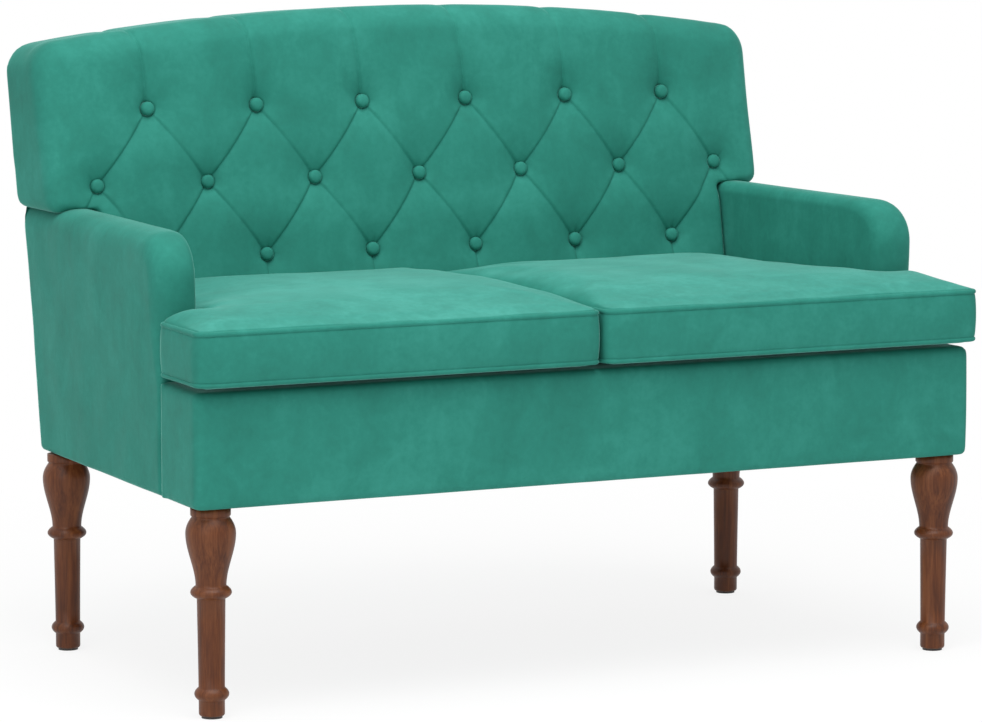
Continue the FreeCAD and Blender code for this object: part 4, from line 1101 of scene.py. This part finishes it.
def make_deck():
    """The cloth-covered platform under the cushions."""
    rear = rear_plane(DECK_TOP) - DECK_REAR_GAP
    wide = inner_x(APRON_REAR) - DECK_ROOM
    narrow = inner_x(rear) - DECK_ROOM
    corners = [(-wide, APRON_REAR, 0.0), (wide, APRON_REAR, 0.0), (narrow, rear, 0.0), (-narrow, rear, 0.0)]
    outline = rounded_outline(corners, 0.01)
    low = DECK_TOP - DECK_THICKNESS
    deck = slab("deck_pad", outline, low, DECK_TOP, SHARP_EDGE, DECK_EDGE, lambda u, v, d: (u, v, d))
    deck = remeshed(deck, FINE_VOXEL, 1)
    points = coordinates(deck)
    top = smooth_step(points[:, 2], DECK_TOP - 0.004, DECK_TOP)
    points[:, 2] -= top * DECK_SAG * (1 + wave(points, 8.0, 4))
    set_coordinates(deck, points)
    return finish_piece(deck, "deck_cloth", "settee", "seat_deck", fill=0.9)


def make_dust_sheet():
    """Thin cloth stapled under the base."""
    level = (SHEET_LOW.z + SHEET_HIGH.z) / 2
    y = SHEET_LOW.y + SHEET_FRONT_INSET
    rear = rear_plane(level) - SHEET_REAR_INSET
    lines = int((rear - y) / SHEET_STEP)
    columns = SHEET_COLUMNS
    points = []
    for line in range(lines + 1):
        at = y + (rear - y) * line / lines
        half = (side_x(at) if at < APRON_REAR else inner_x(at)) - SHEET_INSET
        corner = max(0.0, SHEET_CORNER - (at - y))
        half -= SHEET_CORNER - math.sqrt(max(0.0, SHEET_CORNER ** 2 - corner ** 2))
        for column in range(columns + 1):
            x = half * (2 * column / columns - 1)
            uneven = SHEET_UNEVEN * noise.noise(Vector((x * 9, at * 9, 2.0)))
            points.append(Vector((x, at, level + uneven)))
    faces = []
    for line in range(lines):
        for column in range(columns):
            a = line * (columns + 1) + column
            faces.append((a, a + columns + 1, a + columns + 2, a + 1))
    sheet = new_object("dust_sheet", points, faces)
    finish_piece(sheet, "dust_cloth", "settee", "dust_cover")
    return sheet


# Legs


def arc_profile(start, end, bulge, pieces):
    """Points (radius, height) along an arc between two places, which stands out by bulge."""
    start = Vector(start)
    end = Vector(end)
    chord = end - start
    out = Vector((chord.y, -chord.x)).normalized()
    points = []
    for piece in range(pieces + 1):
        share = piece / pieces
        rise = bulge * (1 - (2 * share - 1) ** 2)
        points.append(tuple(start + chord * share + out * rise))
    return points


def leg_profile():
    """Radius and height pairs of foot, ring, tapered shaft, ring, neck, pear-shaped bulb and collar."""
    top = BASE_BOTTOM
    profile = [(0.0005, 0.003), (0.0140, 0.003), (0.0162, 0.0035), (0.0172, 0.0050), (0.0174, 0.0075)]
    profile += arc_profile((0.0174, 0.0238), (0.0175, 0.0412), 0.0058, 14)
    profile += [(0.0177, 0.060), (0.0181, 0.095), (0.0186, 0.130)]
    ring = top - 0.1135
    profile += arc_profile((0.0190, ring - 0.0087), (0.0205, ring + 0.0087), 0.0079, 14)
    neck = (0.0205, ring + 0.0087)
    bulb = (0.0336, top - 0.035)
    stations = 26
    for station in range(1, stations + 1):
        share = station / stations
        swell = share * share * (3 - 2 * share)
        profile.append((neck[0] + (bulb[0] - neck[0]) * swell, neck[1] + (bulb[1] - neck[1]) * share))
    groove = (0.0254, top - 0.0135)
    for station in range(1, 13):
        share = station / 12
        profile.append((bulb[0] - (bulb[0] - groove[0]) * share ** 2, bulb[1] + (groove[1] - bulb[1]) * share))
    profile += [(0.0252, top - 0.0125), (0.0256, top - 0.0115), (0.0266, top - 0.0110), (0.0269, top - 0.0100)]
    profile += [(0.0269, top - 0.0004), (0.0005, top - 0.0004)]
    return profile


def make_legs():
    """Each pair of legs, on the axes of the turned solids."""
    profile = leg_profile()
    for end in ("front", "rear"):
        low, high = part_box(end + "_legs")
        radius = (high.y - low.y) / 2
        y = (low.y + high.y) / 2
        x = high.x - radius
        pair = [turned("leg", profile, side * x, y) for side in (-1, 1)]
        legs = joined(end + "_turned_legs", pair)
        finish_piece(legs, "leg_wood", "settee", end + "_legs")


# Stage

CAMERA_PLACE = Vector((-3.1192, -6.1899, 1.2487))
CAMERA_YAW = math.radians(26.886)
CAMERA_PITCH = math.radians(6.895)
IMAGE_WIDTH = 982
FOCAL_PIXELS = 4893
SENSOR_WIDTH = 36.0
AMBIENT = 0.57
FLOOR_REACH = 40.0
NEAR_WHITE = 0.85
SHADOW_REACH = (0.7, 1.7)


def make_camera():
    data = bpy.data.cameras.new("camera")
    data.sensor_width = SENSOR_WIDTH
    data.lens = SENSOR_WIDTH * FOCAL_PIXELS / IMAGE_WIDTH
    camera = bpy.data.objects.new("camera", data)
    bpy.context.scene.collection.objects.link(camera)
    ahead = Vector((
        math.sin(CAMERA_YAW) * math.cos(CAMERA_PITCH),
        math.cos(CAMERA_YAW) * math.cos(CAMERA_PITCH),
        -math.sin(CAMERA_PITCH),
    ))
    camera.location = CAMERA_PLACE
    camera.rotation_euler = ahead.to_track_quat("-Z", "Y").to_euler()
    bpy.context.scene.camera = camera


def seen_ray(tree):
    """1 for rays that come straight from the camera, a reflection or glass."""
    path = tree.nodes.new("ShaderNodeLightPath")
    total = path.outputs["Is Camera Ray"]
    for name in ("Is Glossy Ray", "Is Transmission Ray"):
        add = tree.nodes.new("ShaderNodeMath")
        add.operation = "MAXIMUM"
        tree.links.new(total, add.inputs[0])
        tree.links.new(path.outputs[name], add.inputs[1])
        total = add.outputs["Value"]
    return total


def make_world():
    """Even light from all sides, and plain white where the camera looks past the settee."""
    world = bpy.data.worlds.new("studio")
    world.use_nodes = True
    tree = world.node_tree
    soft = tree.nodes["Background"]
    soft.inputs["Color"].default_value = (1.0, 1.0, 1.0, 1.0)
    soft.inputs["Strength"].default_value = AMBIENT
    white = tree.nodes.new("ShaderNodeBackground")
    white.inputs["Color"].default_value = (1.0, 1.0, 1.0, 1.0)
    mix = tree.nodes.new("ShaderNodeMixShader")
    tree.links.new(seen_ray(tree), mix.inputs["Fac"])
    tree.links.new(soft.outputs["Background"], mix.inputs[1])
    tree.links.new(white.outputs["Background"], mix.inputs[2])
    tree.links.new(mix.outputs["Shader"], tree.nodes["World Output"].inputs["Surface"])
    bpy.context.scene.world = world


def area_light(name, place, target, size, power):
    data = bpy.data.lights.new(name, "AREA")
    data.shape = "SQUARE"
    data.size = size
    data.energy = power
    lamp = bpy.data.objects.new(name, data)
    lamp.location = place
    lamp.rotation_euler = (Vector(target) - Vector(place)).to_track_quat("-Z", "Y").to_euler()
    bpy.context.scene.collection.objects.link(lamp)


def make_floor():
    """Pale floor that keeps the shadow near the settee and runs out to white."""
    corners = [(FLOOR_REACH * x, FLOOR_REACH * y, 0) for x, y in ((-1, -1), (1, -1), (1, 1), (-1, 1))]
    floor = new_object("floor", corners, [(0, 1, 2, 3)], smooth=False)
    material = bpy.data.materials.new("floor")
    material.use_nodes = True
    tree = material.node_tree
    paint = tree.nodes["Principled BSDF"]
    paint.inputs["Base Color"].default_value = (0.93, 0.93, 0.93, 1.0)
    paint.inputs["Roughness"].default_value = 0.9
    paint.inputs["Specular IOR Level"].default_value = 0.1
    white = tree.nodes.new("ShaderNodeEmission")
    white.inputs["Color"].default_value = (1.0, 1.0, 1.0, 1.0)
    distance = tree.nodes.new("ShaderNodeVectorMath")
    distance.operation = "LENGTH"
    place = tree.nodes.new("ShaderNodeTexCoord")
    tree.links.new(place.outputs["Object"], distance.inputs[0])
    fade = tree.nodes.new("ShaderNodeMapRange")
    fade.inputs["From Min"].default_value = SHADOW_REACH[0]
    fade.inputs["From Max"].default_value = SHADOW_REACH[1]
    fade.inputs["To Min"].default_value = NEAR_WHITE
    tree.links.new(distance.outputs["Value"], fade.inputs["Value"])
    share = tree.nodes.new("ShaderNodeMath")
    share.operation = "MULTIPLY"
    tree.links.new(fade.outputs["Result"], share.inputs[0])
    tree.links.new(seen_ray(tree), share.inputs[1])
    mix = tree.nodes.new("ShaderNodeMixShader")
    tree.links.new(share.outputs["Value"], mix.inputs["Fac"])
    tree.links.new(paint.outputs["BSDF"], mix.inputs[1])
    tree.links.new(white.outputs["Emission"], mix.inputs[2])
    tree.links.new(mix.outputs["Shader"], tree.nodes["Material Output"].inputs["Surface"])
    floor.data.materials.append(material)


bpy.context.scene.view_settings.view_transform = "Standard"
make_camera()
make_world()
area_light("overhead", place=(-0.55, -1.2, 3.6), target=(0.0, -0.1, 0.4), size=3.0, power=122.0)
area_light("fill", place=(-3.2, -2.6, 1.7), target=(0.3, 0.0, 0.6), size=2.6, power=24.0)
make_floor()
paint_frame()
make_legs()
make_apron()
make_arms()
make_back()
make_buttons()
make_outside_back()
make_cushions()
make_deck()
make_dust_sheet()
